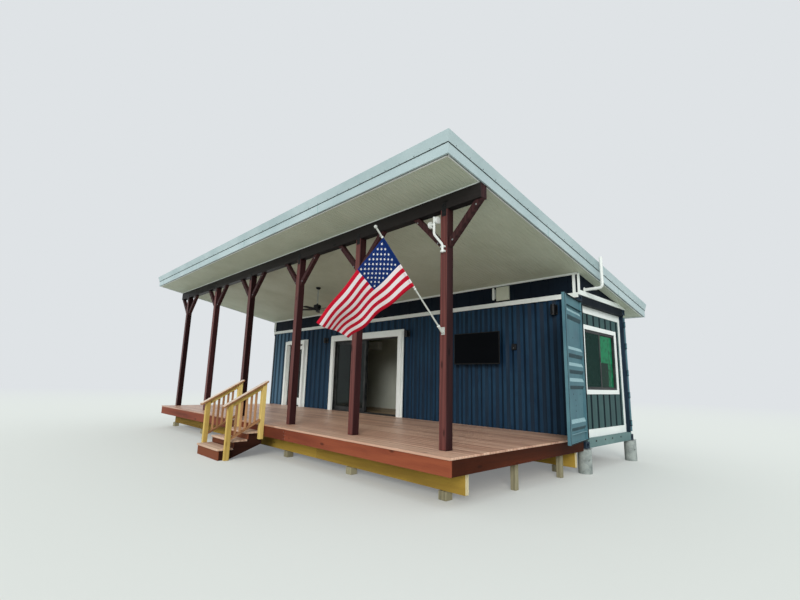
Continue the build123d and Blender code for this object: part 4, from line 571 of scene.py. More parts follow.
class Palette:
    """Every finish of the cabin."""

    # Painted shade: both navy paints darken the slopes of the ribs, which face sideways.
    wall = RolledPaint("navy_wall_paint", "navy_steel", "#112d45", "#213f55", "#0d151b", rust=0.2,
                       specular=0.15, flank="#071522")
    # Painted light: the porch wall paint turns lighter towards the far end.
    porch_wall = RolledPaint("porch_wall_paint", "navy_steel", "#142f47", "#244259", "#0d151b", rust=0.2,
                             specular=0.15, flank="#071522", far_side_light="#54758c")
    knee = RolledPaint("dark_panel_paint", "navy_steel", "#08111b", "#0f1b27", "#0a0d10", specular=0.1)
    frame = RolledPaint("post_paint", "teal_paint", "#14222e", "#27394a", rust=0.7, specular=0.2)
    sill = RolledPaint("sill_paint", "teal_paint", "#536f71", "#78928f", rust=0.8,
                       above="#0b141d", above_m=1.2, specular=0.1)
    # Painted light and shade on the door: upward faces take the pale top colour, and downward faces take the grime
    # colour.
    leaf = RolledPaint("cargo_door_paint", "teal_paint", "#436874", "#5d848c", "#1b3038", rust=0.7,
                       patch_mm=700.0, specular=0.2, painted_top_light="#a3c4c8")
    siding = RolledPaint("siding_paint", "teal_paint", "#374f50", "#466160", patch_mm=500.0, specular=0.1)
    # Dark paint for the painted shadow in and beside the siding's grooves.
    groove = RolledPaint("groove_shadow_paint", "teal_paint", "#141f24", "#1c292d", "#0d1315", specular=0.05)
    trim = RolledPaint("white_board_paint", "white_paint", "#f0f4f1", "#e2e9e5", "#a3aaa5",
                       Sheen.SATIN, patch_mm=600.0)
    soffit = RolledPaint("soffit_vinyl", "soffit_board", "#c8cfbd", "#b9c0ac", "#9da28f", Sheen.EGGSHELL, peel_mm=3.0)
    fascia = CoatedSheet("fascia_coat", "fascia_metal", "#b4c6c8", "#a0b5b7")
    drip = CoatedSheet("roof_trim_coat", "galvanised", "#9dbab9", "#86a2a1", 0.34)
    roof = CoatedSheet("roof_sheet_coat", "galvanised", "#a6bab9", "#98adac", 0.55, 0.12)
    gap = MouldedPlastic("shadow_gap", "black_plastic", "#0c0d0d", 0.8)
    # Lit and shaded copies of the post stain: the paler one is painted light on faces towards the porch front, and
    # the darker one is painted shade on the rest.
    post = SawnTimber("stained_post_pine", "stained_timber", "#74433e", "#57302d", "#2c1615",
                      Sheen.SATIN, weathering=0.12, specular=0.15)
    post_shaded = SawnTimber("stained_post_pine_painted_shade", "stained_timber", "#3f2526", "#2c1819", "#170d0d",
                          Sheen.SATIN, weathering=0.08, specular=0.05)
    # The beam's near-black colour is partly its dark stain and partly painted shade under the roof.
    beam = SawnTimber("stained_beam_pine_painted_shade", "stained_timber", "#2d2a29", "#1e1b1b", "#0f0d0d",
                      Sheen.SATIN, weathering=0.1, specular=0.05)
    # The braces take a darker copy of the post stain as painted shade under the roof.
    brace = SawnTimber("stained_brace_pine_painted_shade", "stained_timber", "#432a2a", "#2a1b1c", "#150d0e",
                       Sheen.SATIN, weathering=0.1, specular=0.05)
    deck = SawnTimber("stained_deck_pine", "deck_timber", "#dab59b", "#b98c74", "#835a45",
                      Sheen.SATIN, weathering=0.35, specular=0.6)
    rim = SawnTimber("stained_rim_pine", "deck_timber", "#9c5539", "#763a29", "#3e1d13",
                     Sheen.EGGSHELL, ring_mm=22.0, weathering=0.2, specular=0.1)
    # A darker copy of the rim stain, as painted shade on the rim's near end board.
    rim_shaded = SawnTimber("stained_rim_pine_painted_shade", "deck_timber", "#6c321b", "#4c2415", "#29130b",
                         Sheen.EGGSHELL, ring_mm=22.0, weathering=0.1, specular=0.05)
    tread = SawnTimber("stained_step_pine", "deck_timber", "#7a4630", "#523022", "#2f1a12", specular=0.15)
    # A darker copy of the step stain, as painted shade on the stair's stringers.
    stringer = SawnTimber("stained_stringer_pine_painted_shade", "deck_timber", "#43261d", "#2e1913", "#190d0a", specular=0.05)
    step = SawnTimber("walked_step_pine", "deck_timber", "#d2b49c", "#b6957f", "#83604c",
                      weathering=0.35, specular=0.3)
    baluster = SawnTimber("baluster_cedar", "treated_pine", "#b98c63", "#9a6f4b", "#664430", specular=0.2)
    # The hand rail's upward faces take this paler copy of the timber.
    cap = SawnTimber("pale_topped_cap_pine", "treated_pine", "#efe2d6", "#dcc9b8", "#ab9075", weathering=0.35)
    pine = SawnTimber("green_treated_pine", "treated_pine", "#b0913f", "#8c7030", "#54411c",
                      ring_mm=16.0, weathering=0.2, specular=0.15)
    pine_end = SawnTimber("pine_end_grain", "treated_pine", "#d9cfae", "#c6b98e", "#8d7a4e",
                          ring_mm=5.0, weathering=0.2)
    stub = SawnTimber("pier_post_pine", "treated_pine", "#a39d82", "#8c866c", "#5d5843", specular=0.15)
    rail = SawnTimber("sunned_rail_pine", "treated_pine", "#e4cc80", "#c5a758", "#8d7031",
                      ring_mm=14.0, weathering=0.2)
    framing = SawnTimber("sawn_framing", "plain_timber", "#b99f74", "#927649", "#5c472a")
    floor = SawnTimber("floor_plank", "plain_timber", "#a68c6c", "#7f6648", "#4f3e2b", Sheen.SATIN)
    concrete = CastConcrete()
    lining = RolledPaint("wall_emulsion", "interior_board", "#d5d9cc", "#c7cbbd", "#b5b5aa", Sheen.FLAT)
    bronze = MouldedPlastic("dark_frame_aluminium", "black_plastic", "#111416", 0.45)
    black = MouldedPlastic("black_fitting", "black_plastic", "#08090b", 0.42, 0.25, "#3a3c3c")
    rubber = MouldedPlastic("door_seal_rubber", "black_plastic", "#121417", 0.7, 0.2, "#2a2c2e")
    screen = MouldedPlastic("screen_glass", "black_plastic", "#030508", 0.3, 0.04, "#0b0e12")
    white = MouldedPlastic("white_fitting", "white_plastic", "#e3e7e3", 0.35)
    cream_box = MouldedPlastic("cream_fitting", "white_plastic", "#c2c6b4", 0.45)
    rod = CoatedSheet("rod_enamel", "galvanised", "#a8b0b0", "#8a9292", 0.35)
    zinc = ZincSteel()
    pole = MouldedPlastic("pole_enamel", "white_plastic", "#bfc2bb", 0.4)
    # The back pane's bright green high up and down its far side is a painted reflection of trees.
    emerald = TintedGlass("emerald_glass", "glass", "#157a50", "#0a2b20", 0.0, 0.03, 90.0, 2.07, 2.74)
    green_glass = TintedGlass("green_glass", "glass", "#2c4b43", "#12241f", 0.1, 0.1)
    dark_glass = TintedGlass("dark_glass", "glass", "#13211d", "#090f0d", 0.25, 0.06)
    mesh = WovenMesh()
    cloth = FlagCloth()


@dataclass
class Site:
    """Moves a place from the cabin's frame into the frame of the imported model."""

    offset: Vector = field(default_factory=Vector)

    def survey(self) -> None:
        """Read the container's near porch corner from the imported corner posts."""
        low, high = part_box("corner_posts")
        self.offset = Vector((high.x, low.y, 0.0))

    def at(self, x: float, y: float, z: float) -> Vector:
        """Place in the model's frame of a place in the cabin's frame."""
        return self.offset + Vector((x, y, z))


SITE = Site()


@dataclass(frozen=True)
class RoofPlane:
    """The sloping soffit: its height at the porch wall and its fall towards the back."""

    at_wall: float = 3.78396
    slope: float = 0.178

    def z(self, y: float) -> float:
        """Height of the soffit's underside above a place across the cabin."""
        return self.at_wall - self.slope * y

    def band(self, y0: float, y1: float, low: float, high: float) -> list[Pair]:
        """Outline of a strip along the soffit, between two heights above its underside."""
        return [(y0, self.z(y0) + low), (y1, self.z(y1) + low), (y1, self.z(y1) + high), (y0, self.z(y0) + high)]


ROOF = RoofPlane()


POST_PLACES = (-0.47, -2.56, -4.66, -7.04, -9.33, -11.71)


def steps(start: float, end: float, pitch: float) -> list[float]:
    """Places from a start to before an end, a pitch apart."""
    return [start + pitch * k for k in range(math.ceil((end - start) / pitch))]


@dataclass(frozen=True)
class Facing:
    """Faces that look one way, with a finish of their own: cut end grain, a paler top, and lit and shaded copies of a
    stain as painted light and shade.
    """

    way: Spot
    finish: Finish


def loft(rings: Iterable[Iterable[Sequence[float]]]) -> bmesh.types.BMesh:
    """Join rings of points into a form that is capped at both ends.

    Args:
        rings: points of each ring, equally many in all.

    Returns:
        The mesh of the closed form.
    """
    mesh = bmesh.new()
    rows = [[mesh.verts.new(spot) for spot in ring] for ring in rings]
    mesh.faces.new(rows[0])
    mesh.faces.new(rows[-1][::-1])
    for low, high in zip(rows, rows[1:]):
        for k in range(len(low)):
            n = (k + 1) % len(low)
            mesh.faces.new((low[n], low[k], high[k], high[n]))
    return mesh


def ease(mesh: bmesh.types.BMesh, width: float) -> None:
    """Chamfer every edge by a small width."""
    if width > 0:
        bmesh.ops.bevel(mesh, geom=list(mesh.edges), offset=width, offset_type="OFFSET", segments=1,
                        profile=0.5, affect="EDGES", clamp_overlap=True)


def four_bars(low: Pair, high: Pair, wide: float, stop: float = 0.0, foot: float = 1.0) -> list[tuple[Pair, Pair]]:
    """Corners of the four bars round an opening: foot, head and both sides.

    Args:
        low: lower corner of the opening.
        high: its upper corner.
        wide: width of a bar.
        stop: how far the side bars end before the corners.
        foot: height of the foot bar as a share of the width.

    Returns:
        The two corners of each bar.
    """
    (a, c), (b, d) = low, high
    return [((a, c), (b, c + wide * foot)), ((a, d - wide), (b, d)),
            ((a, c + stop), (a + wide, d - stop)), ((b - wide, c + stop), (b, d - stop))]


def make_piece(name: str, points: Iterable[Vector], faces: list, finishes: Sequence[Finish], key: str,
               vectors: Iterable[Sequence[float]], body: str) -> Piece:
    """Make an object and let it ride on a body.

    Args:
        name: name of the piece.
        points: its corners in the cabin's frame.
        faces: numbers of each face's corners.
        finishes: finishes of its materials, the main one first.
        key: name of the attribute that its main finish reads.
        vectors: that attribute's value at each corner.
        body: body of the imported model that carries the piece.

    Returns:
        The new object.
    """
    data = bpy.data.meshes.new(name)
    data.from_pydata([tuple(p + SITE.offset) for p in points], [], faces)
    for finish in finishes:
        data.materials.append(finish.material())
    pattern = data.attributes.new(key, "FLOAT_VECTOR", "POINT")
    pattern.data.foreach_set("vector", [c for vector in vectors for c in vector])
    piece = bpy.data.objects.new(name, data)
    bpy.context.scene.collection.objects.link(piece)
    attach(piece, body)
    return piece


class Draft:
    """A mesh in the making, with a board's own coordinates on every vertex."""

    # Span of the random shift along the grain, and cosine within which a face looks one way.
    SHIFT = 40.0
    LOOKS = 0.8

    def __init__(self, name: str, finish: Finish, seed: int = 1) -> None:
        """Start an empty mesh.

        Args:
            name: name of the piece.
            finish: its main finish.
            seed: seed of its board tones and grain shifts.
        """
        self.name = name
        self.random = random.Random(seed)
        self.points: list[Vector] = []
        self.faces: list[list[int]] = []
        self.slots: list[int] = []
        self.grain: list[Vector] = []
        self.tone: list[float] = []
        self.finishes: list[Finish] = [finish]

    def take(self, mesh: bmesh.types.BMesh, along: Axis = Axis.ALONG, finish: Finish | None = None,
             tone: float | None = None, turned_to: Facing | None = None) -> None:
        """Add a closed form.

        Args:
            mesh: form in the cabin's frame; it is freed here.
            along: direction in which its grain runs.
            finish: finish of this form where it isn't the draft's main one.
            tone: board tone from 0 to 1, or None for a random one.
            turned_to: finish of the faces that look one way, where it differs.
        """
        mesh.verts.ensure_lookup_table()
        bmesh.ops.recalc_face_normals(mesh, faces=mesh.faces)
        shift = Vector([self.random.uniform(0, self.SHIFT) for _ in range(3)])
        middle = sum((v.co for v in mesh.verts), Vector()) / max(1, len(mesh.verts))
        shade = self.random.random() if tone is None else tone
        index = self.slot_of(finish)
        turned = -1 if turned_to is None else self.slot_of(turned_to.finish)
        start = len(self.points)
        order = sorted(range(3), key=lambda k: (k != along.value, k))
        for vert in mesh.verts:
            local = vert.co - middle
            self.points.append(vert.co.copy())
            self.grain.append(Vector([local[k] for k in order]) + shift)
            self.tone.append(shade)
        for face in mesh.faces:
            self.faces.append([start + v.index for v in face.verts])
            looks = turned_to is not None and face.normal.dot(Vector(turned_to.way)) > self.LOOKS
            self.slots.append(turned if looks else index)
        mesh.free()

    def slot_of(self, finish: Finish | None) -> int:
        """Number of a finish in this mesh, added where it is new.

        Args:
            finish: the finish, or None for the main one.

        Returns:
            Its place among the mesh's finishes.
        """
        if finish is None:
            return 0
        if finish not in self.finishes:
            self.finishes.append(finish)
        return self.finishes.index(finish)

    def board(self, low: Sequence[float], high: Sequence[float], along: Axis = Axis.ALONG,
              edge: float = 0.003, finish: Finish | None = None, turned_to: Facing | None = None) -> None:
        """Add a board with its edges eased.

        Args:
            low: its lower corner.
            high: its upper corner.
            along: direction in which its grain runs.
            edge: width of the eased edges, or 0 for sharp ones.
            finish: finish of this board where it isn't the main one.
            turned_to: finish of the faces that look one way, where it differs.
        """
        mesh = bmesh.new()
        bmesh.ops.create_cube(mesh, size=1.0)
        size = Vector([b - a for a, b in zip(low, high)])
        middle = Vector([(a + b) / 2 for a, b in zip(low, high)])
        bmesh.ops.scale(mesh, vec=size, verts=mesh.verts)
        bmesh.ops.translate(mesh, vec=middle, verts=mesh.verts)
        ease(mesh, min(edge, min(abs(s) for s in size) * 0.3))
        self.take(mesh, along, finish, turned_to=turned_to)

    def prism(self, outline: Iterable[Pair], start: float, end: float, run: Axis, along: Axis | None = None,
              edge: float = 0.003, finish: Finish | None = None, turned_to: Facing | None = None) -> None:
        """Extrude an outline along an axis.

        Args:
            outline: points of the two other axes, in their x, y, z order.
            start: place of the first end on the axis.
            end: place of the second end.
            run: axis of the extrusion.
            along: direction of the grain, or None for the axis itself.
            edge: width of the eased edges, or 0 for sharp ones.
            finish: finish of this form where it isn't the main one.
            turned_to: finish of the faces that look one way, where it differs.
        """
        def spot(place: float, pair: Pair) -> list[float]:
            """Point of the outline at a place on the axis."""
            coords = list(pair)
            coords.insert(run.value, place)
            return coords

        mesh = loft([[spot(place, pair) for pair in outline] for place in (start, end)])
        ease(mesh, edge)
        self.take(mesh, along or run, finish, turned_to=turned_to)

    def disc(self, centre: Sequence[float], normal: Sequence[float], radius: float, height: float,
             sides: int = 12, finish: Finish | None = None, cone: float = 1.0) -> None:
        """Add a short round or many-sided stud.

        Args:
            centre: its middle.
            normal: direction in which it stands.
            radius: radius of its foot.
            height: its length along the normal.
            sides: number of its sides.
            finish: finish of this stud where it isn't the main one.
            cone: radius of its head as a share of the foot's.
        """
        mesh = bmesh.new()
        bmesh.ops.create_cone(mesh, cap_ends=True, segments=sides, radius1=radius, radius2=radius * cone,
                              depth=height)
        turn = Vector((0, 0, 1)).rotation_difference(Vector(normal).normalized())
        matrix = Matrix.Translation(Vector(centre)) @ turn.to_matrix().to_4x4()
        bmesh.ops.transform(mesh, matrix=matrix, verts=mesh.verts)
        self.take(mesh, Axis.UP, finish)

    def turned(self, profile: Sequence[Pair], centre: Sequence[float], direction: Sequence[float] = (0, 0, 1),
               sides: int = 32, finish: Finish | None = None) -> None:
        """Turn a profile about an axis.

        Args:
            profile: (radius, height) points, from one end to the other.
            centre: place on the axis where the height is 0.
            direction: direction of the axis.
            sides: number of sides of the turned form.
            finish: finish of this form where it isn't the main one.
        """
        turn = Vector((0, 0, 1)).rotation_difference(Vector(direction).normalized())
        base = Vector(centre)
        angles = [2 * math.pi * k / sides for k in range(sides)]
        self.take(loft([[base + turn @ Vector((radius * math.cos(a), radius * math.sin(a), height)) for a in angles]
                        for radius, height in profile]), Axis.UP, finish)

    def finish_piece(self, body: str = BUILDING, smooth: bool = False, replaces: Sequence[str] = ()) -> Piece:
        """Make the object, dress it and let it ride on a body.

        Args:
            body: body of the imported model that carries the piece.
            smooth: whether faces shade smoothly across shallow angles.
            replaces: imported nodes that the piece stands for.

        Returns:
            The new object.
        """
        piece = make_piece(self.name, self.points, self.faces, self.finishes, "grain", self.grain, body)
        piece.data.polygons.foreach_set("material_index", self.slots)
        tone = piece.data.attributes.new("tone", "FLOAT", "POINT")
        tone.data.foreach_set("value", self.tone)
        piece.data.update()
        if smooth:
            piece.data.shade_smooth()
            piece.modifiers.new("crease", "EDGE_SPLIT").split_angle = math.radians(35)
        if replaces:
            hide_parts(*replaces)
        LOG.info("piece %s: %d faces on %s", self.name, len(self.faces), body)
        return piece


def repaint(nodes: Nodes, name: str, finish: Finish, ease_mm: float = 0.0) -> None:
    """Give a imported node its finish.

    Args:
        nodes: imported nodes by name.
        name: the node's name.
        finish: finish that it takes.
        ease_mm: width of its eased edges, or 0 to leave them sharp.
    """
    node = nodes[name]
    node.data.materials.clear()
    node.data.materials.append(finish.material())
    if ease_mm > 0:
        bevel = node.modifiers.new("eased", "BEVEL")
        bevel.width = ease_mm * MM
        bevel.segments = 2
        bevel.limit_method = "ANGLE"
        bevel.angle_limit = math.radians(40)
    LOG.info("node %s takes %s", name, finish.name)


@dataclass
class Shell:
    """Container shell, its frame, linings and piers."""

    painted: dict[str, str] = field(default_factory=lambda: {
        "front_wall": "porch_wall", "back_wall": "wall", "side_rails": "wall", "container_roof": "wall",
        "far_end_wall": "siding", "cross_members": "sill", "wall_lining": "lining",
        "ceiling_lining": "lining"})
    pier_places: tuple[float, ...] = (-0.06, -6.096, -12.132)
    pier_rows: tuple[float, ...] = (0.06, 2.378)
    pier_radius: float = 0.123
    pier_height: float = 0.442
    plate: float = 0.105
    plate_thickness: float = 0.01
    tie_holes: tuple[Pair, ...] = ((-0.5, 0.25), (-0.2, 0.235))
    plank_width: float = 0.178
    plank_lengths: Spot = (3.6, 2.4, 4.2)
    plank_shortest: float = 0.4
    plank_gap: float = 0.0006
    width: float = 2.438
    web_face: Pair = (-12.15, -12.1482)
    web_span: Pair = (0.034, 0.15)
    web_height: Pair = (0.561, 3.219)

    def build(self, nodes: Nodes) -> None:
        """Dress the shell's nodes and add floor planks and piers.

        Args:
            nodes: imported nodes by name.
        """
        for name, key in self.painted.items():
            repaint(nodes, name, getattr(Palette, key))
        repaint(nodes, "corner_posts", Palette.frame, 2.5)
        self.far_post_webs()
        self.piers()
        self.floor()

    def far_post_webs(self) -> None:
        """Folded plates that join the far posts to the corrugated end."""
        draft = Draft("far_post_webs", Palette.frame, 12)
        (x0, x1), (z0, z1) = self.web_face, self.web_height
        near, inner = self.web_span
        for y0, y1 in ((near, inner), (self.width - inner, self.width - near)):
            draft.board((x0, y0, z0), (x1, y1, z1), Axis.UP, edge=0.0003)
        draft.finish_piece()

    def piers(self) -> None:
        """Round piers with a worn rim, a steel plate under the casting and form-tie holes."""
        piers = Draft("pier_casts", Palette.concrete, 3)
        radius = self.pier_radius
        top = self.pier_height - self.plate_thickness
        profile = [(radius * share, height) for share, height in (
            (0.985, 0.0), (1.0, 0.02), (0.995, top - 0.05), (1.0, top - 0.03), (0.985, top - 0.012),
            (0.93, top - 0.002), (0.5, top))]
        half = self.plate
        for x in self.pier_places:
            for y in self.pier_rows:
                piers.turned(profile, (x, y, 0.0), sides=40)
                piers.board((x - half, y - half, top), (x + half, y + half, self.pier_height), edge=0.002,
                            finish=Palette.zinc)
                for way in (-1, 1):
                    for turn, height in self.tie_holes:
                        out = Vector((math.cos(turn), way * math.sin(turn + 0.9), 0.0)).normalized()
                        place = Vector((x, y, height)) + out * (radius - 0.001)
                        piers.disc(place, out, 0.009, 0.004, 10, Palette.gap)
        piers.finish_piece(smooth=True, replaces=["concrete_piers"])

    def floor(self) -> None:
        """Planked floor of the room, each row of planks starting at another length."""
        low, high = [corner - SITE.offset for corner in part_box("container_floor")]
        draft = Draft("floor_planks", Palette.floor, 4)
        rows = round((high.y - low.y) / self.plank_width)
        width = (high.y - low.y) / rows
        gap = self.plank_gap
        for row in range(rows):
            x, k = low.x, row
            while x < high.x - 0.01:
                length = self.plank_lengths[k % len(self.plank_lengths)] * (0.5 if x == low.x else 1.0)
                end = min(high.x, x + length)
                if high.x - end < self.plank_shortest:
                    end = high.x
                draft.board((x + gap, low.y + width * row + gap, low.z),
                            (end - gap, low.y + width * (row + 1) - gap, high.z), edge=0.002)
                x, k = end, k + 1
        draft.finish_piece(replaces=["container_floor"])


@dataclass
class DoorEnd:
    """Set-back end wall with its window, and the two opened cargo doors."""

    window_low: Pair = (0.43, 1.505)
    window_size: Pair = (1.55, 1.205)
    frame_width: float = 0.045
    stile: float = 0.05
    pane_face: float = -0.159
    pane: float = 0.006
    screen_bar: float = 0.014
    screen_stop: float = 0.02
    screen_lap: float = 0.012
    screen_faces: Pair = (-0.133, -0.131)
    screen_bar_faces: Pair = (-0.137, -0.128)
    bead: float = 0.011
    window_trim: float = 0.088
    siding_span: Pair = (0.75, 3.038)
    grooves: int = 7
    groove_start: float = 0.27
    groove_pitch: float = 0.308
    groove_foot: float = 0.026
    groove_bottom: float = -0.127
    groove_depth: float = 0.012
    groove_flank: float = 0.008
    groove_shade: float = 0.046
    sill_holes: tuple[float, ...] = (0.47, 0.905, 1.264, 1.717)
    sill_hole: Pair = (0.064, 0.034)
    sill_hole_height: float = 0.546
    sill_hole_depth: Pair = (-0.028, -0.003)
    leaf_axis: tuple[Pair, ...] = ((-0.012, 0.012), (-0.012, 2.426))
    leaf_turn: Pair = (-170.3, 262.0)
    leaf_inside: float = -0.048
    leaf_rim: float = -0.088
    leaf_span: Pair = (0.044, 1.211)
    leaf_high: Pair = (0.612, 3.166)
    bolt_rows: tuple[Pair, ...] = (
        (1.427, 0.78), (1.324, 0.66), (1.227, 0.66), (1.138, 0.66), (1.427, 0.36), (2.42, 0.66))

    @property
    def middle(self) -> float:
        """Place of the window's meeting rail."""
        return self.window_low[0] + self.window_size[0] / 2

    @property
    def glazed(self) -> tuple[float, float, float, float]:
        """Both sides, the foot and the head of the window inside its frame."""
        (y, z), (width, height), inset = self.window_low, self.window_size, self.frame_width
        return y + inset, y + width - inset, z + inset, z + height - inset

    @property
    def halves(self) -> tuple[Pair, Pair]:
        """Sides of the pane by the porch and of the one at the back."""
        y0, y1, _, _ = self.glazed
        return (y0, self.middle - self.stile / 2), (self.middle + self.stile / 2, y1)

    def build(self, nodes: Nodes) -> None:
        """Dress wall, boards and doors, and add panes, screen, seals and bolt holes.

        Args:
            nodes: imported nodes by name.
        """
        repaint(nodes, "end_wall", Palette.siding)
        repaint(nodes, "end_trim", Palette.trim, 2.0)
        for name, ease_mm in (("cargo_door_front", 2.0), ("cargo_door_back", 2.0),
                              ("front_lock_bars", 1.0), ("back_lock_bars", 1.0)):
            repaint(nodes, name, Palette.leaf, ease_mm)
        self.groove_lines()
        self.sill_hole_shadows()
        self.panes()
        self.insect_screen()
        self.track()
        for side, body in enumerate(("cargo_door_front", "cargo_door_back")):
            self.leaf_details(side, body)

    def groove_lines(self) -> None:
        """Dark paint in the siding's grooves and beside them, as painted shadow of the grooves."""
        draft = Draft("siding_groove_shadow", Palette.groove, 10)
        y0, z0 = self.window_low
        width, height = self.window_size
        low, high = self.siding_span
        trim = self.window_trim
        for k in range(self.grooves):
            y = self.groove_start + self.groove_pitch * k
            x, foot, flank, shade = self.groove_bottom, y + self.groove_foot, self.groove_flank, self.groove_shade
            face = x + self.groove_depth
            beside = foot < y0 - trim or y > y0 + width + trim
            spans = [(low, high)] if beside else [(low, z0 - trim), (z0 + height + trim, high)]
            outline = [(x, y), (x, foot), (face, foot + flank), (face, foot + shade), (face + 0.001, foot + shade),
                       (face + 0.001, foot + flank - 0.0006), (x + 0.001, foot - 0.001), (x + 0.001, y)]
            for a, b in spans:
                draft.prism(outline, a, b, Axis.UP, edge=0.0)
        draft.finish_piece()

    def sill_hole_shadows(self) -> None:
        """Dark plates in the bottoms of the four slots in the end sill, as painted shadow."""
        draft = Draft("sill_hole_shadows", Palette.gap, 13)
        half, radius = self.sill_hole[0] / 2 - self.sill_hole[1] / 2, self.sill_hole[1] / 2 - 0.001
        for y in self.sill_holes:
            outline = []
            for k in range(16):
                angle = math.pi * (k // 8 + k % 8 / 7 - 0.5)
                middle = y + (half if k < 8 else -half)
                outline.append((middle + radius * math.cos(angle), self.sill_hole_height + radius * math.sin(angle)))
            draft.prism(outline, *self.sill_hole_depth, Axis.ALONG, edge=0.0)
        draft.finish_piece()

    def panes(self) -> None:
        """The two panes of the sliding window."""
        _, _, z0, z1 = self.glazed
        for name, finish, (a, b) in zip(("window_pane_porch_side", "window_pane_back_side"),
                                        (Palette.green_glass, Palette.emerald), self.halves):
            draft = Draft(name, finish, 6)
            draft.board((self.pane_face - self.pane, a, z0), (self.pane_face, b, z1), edge=0.0)
            draft.finish_piece(replaces=["fixed_glass"])

    def insect_screen(self) -> None:
        """Screen in its thin frame in front of the porch-side pane."""
        a, _, c, d = self.glazed
        b, lap = self.middle - self.screen_stop, self.screen_lap
        (back, face), (bar_back, bar_face) = self.screen_faces, self.screen_bar_faces
        screen = Draft("window_screen", Palette.mesh, 5)
        screen.board((back, a + lap, c + lap), (face, b - lap, d - lap), edge=0.0)
        for low, high in four_bars((a, c), (b, d), self.screen_bar):
            screen.board((bar_back, *low), (bar_face, *high), edge=0.001, finish=Palette.black)
        screen.finish_piece()

    def track(self) -> None:
        """Glazing beads and the meeting rail's latch of the window."""
        _, _, c, d = self.glazed
        draft = Draft("window_beads", Palette.bronze, 9)
        for a, b in self.halves:
            for low, high in four_bars((a, c), (b, d), self.bead, self.bead):
                draft.board((self.pane_face - 0.002, *low), (self.pane_face + 0.014, *high), edge=0.002)
        z0, height = self.window_low[1], self.window_size[1]
        draft.board((-0.133, self.middle - 0.012, z0 + height * 0.48),
                    (-0.12, self.middle + 0.012, z0 + height * 0.56), Axis.UP, edge=0.004)
        draft.finish_piece()

    def swung(self, side: int, place: Sequence[float]) -> Vector:
        """Move a place on a closed door to where the door stands open at rest.

        Args:
            side: 0 for the porch-side door, 1 for the back one.
            place: x, distance along the door from its hinge side, and height.

        Returns:
            The place in the cabin's frame.
        """
        axis_x, axis_y = self.leaf_axis[side]
        hinge_edge = 0.0 if side == 0 else 2.438
        y = hinge_edge + (place[1] if side == 0 else -place[1])
        turn = math.radians(self.leaf_turn[side])
        dx, dy = place[0] - axis_x, y - axis_y
        return Vector((axis_x + dx * math.cos(turn) - dy * math.sin(turn),
                       axis_y + dx * math.sin(turn) + dy * math.cos(turn), place[2]))

    def leaf_details(self, side: int, body: str) -> None:
        """Rubber seal round a door and the holes left by its cargo lashings.

        Args:
            side: 0 for the porch-side door, 1 for the back one.
            body: body that carries the door.
        """
        draft = Draft("door_seal_" + ("front", "back")[side], Palette.rubber, 15 + side)
        u0, u1 = self.leaf_span
        z0, z1 = self.leaf_high
        lip, inner, short = 0.012, 0.004, 0.02
        x0, x1 = self.leaf_rim - inner, self.leaf_rim + lip
        for a, b, c, d in ((u0 + inner, u0 + inner + lip, z0 + short, z1 - short),
                           (u1 - inner - lip, u1 - inner, z0 + short, z1 - short),
                           (u0 + short, u1 - short, z0 + 0.002, z0 + 0.002 + lip),
                           (u0 + short, u1 - short, z1 - 0.002 - lip, z1 - 0.002)):
            mesh = loft([[self.swung(side, (x, u, z)) for x, u in ((x0, a), (x1, a), (x1, b), (x0, b))]
                         for z in (c, d)])
            ease(mesh, 0.002)
            draft.take(mesh, Axis.UP)
        inward = self.swung(side, (-1.0, 0.5, 1.0)) - self.swung(side, (0.0, 0.5, 1.0))
        for z, u in self.bolt_rows:
            draft.disc(self.swung(side, (self.leaf_inside - 0.0005, u, z)), inward, 0.011, 0.002, 12, Palette.gap)
        draft.finish_piece(body)


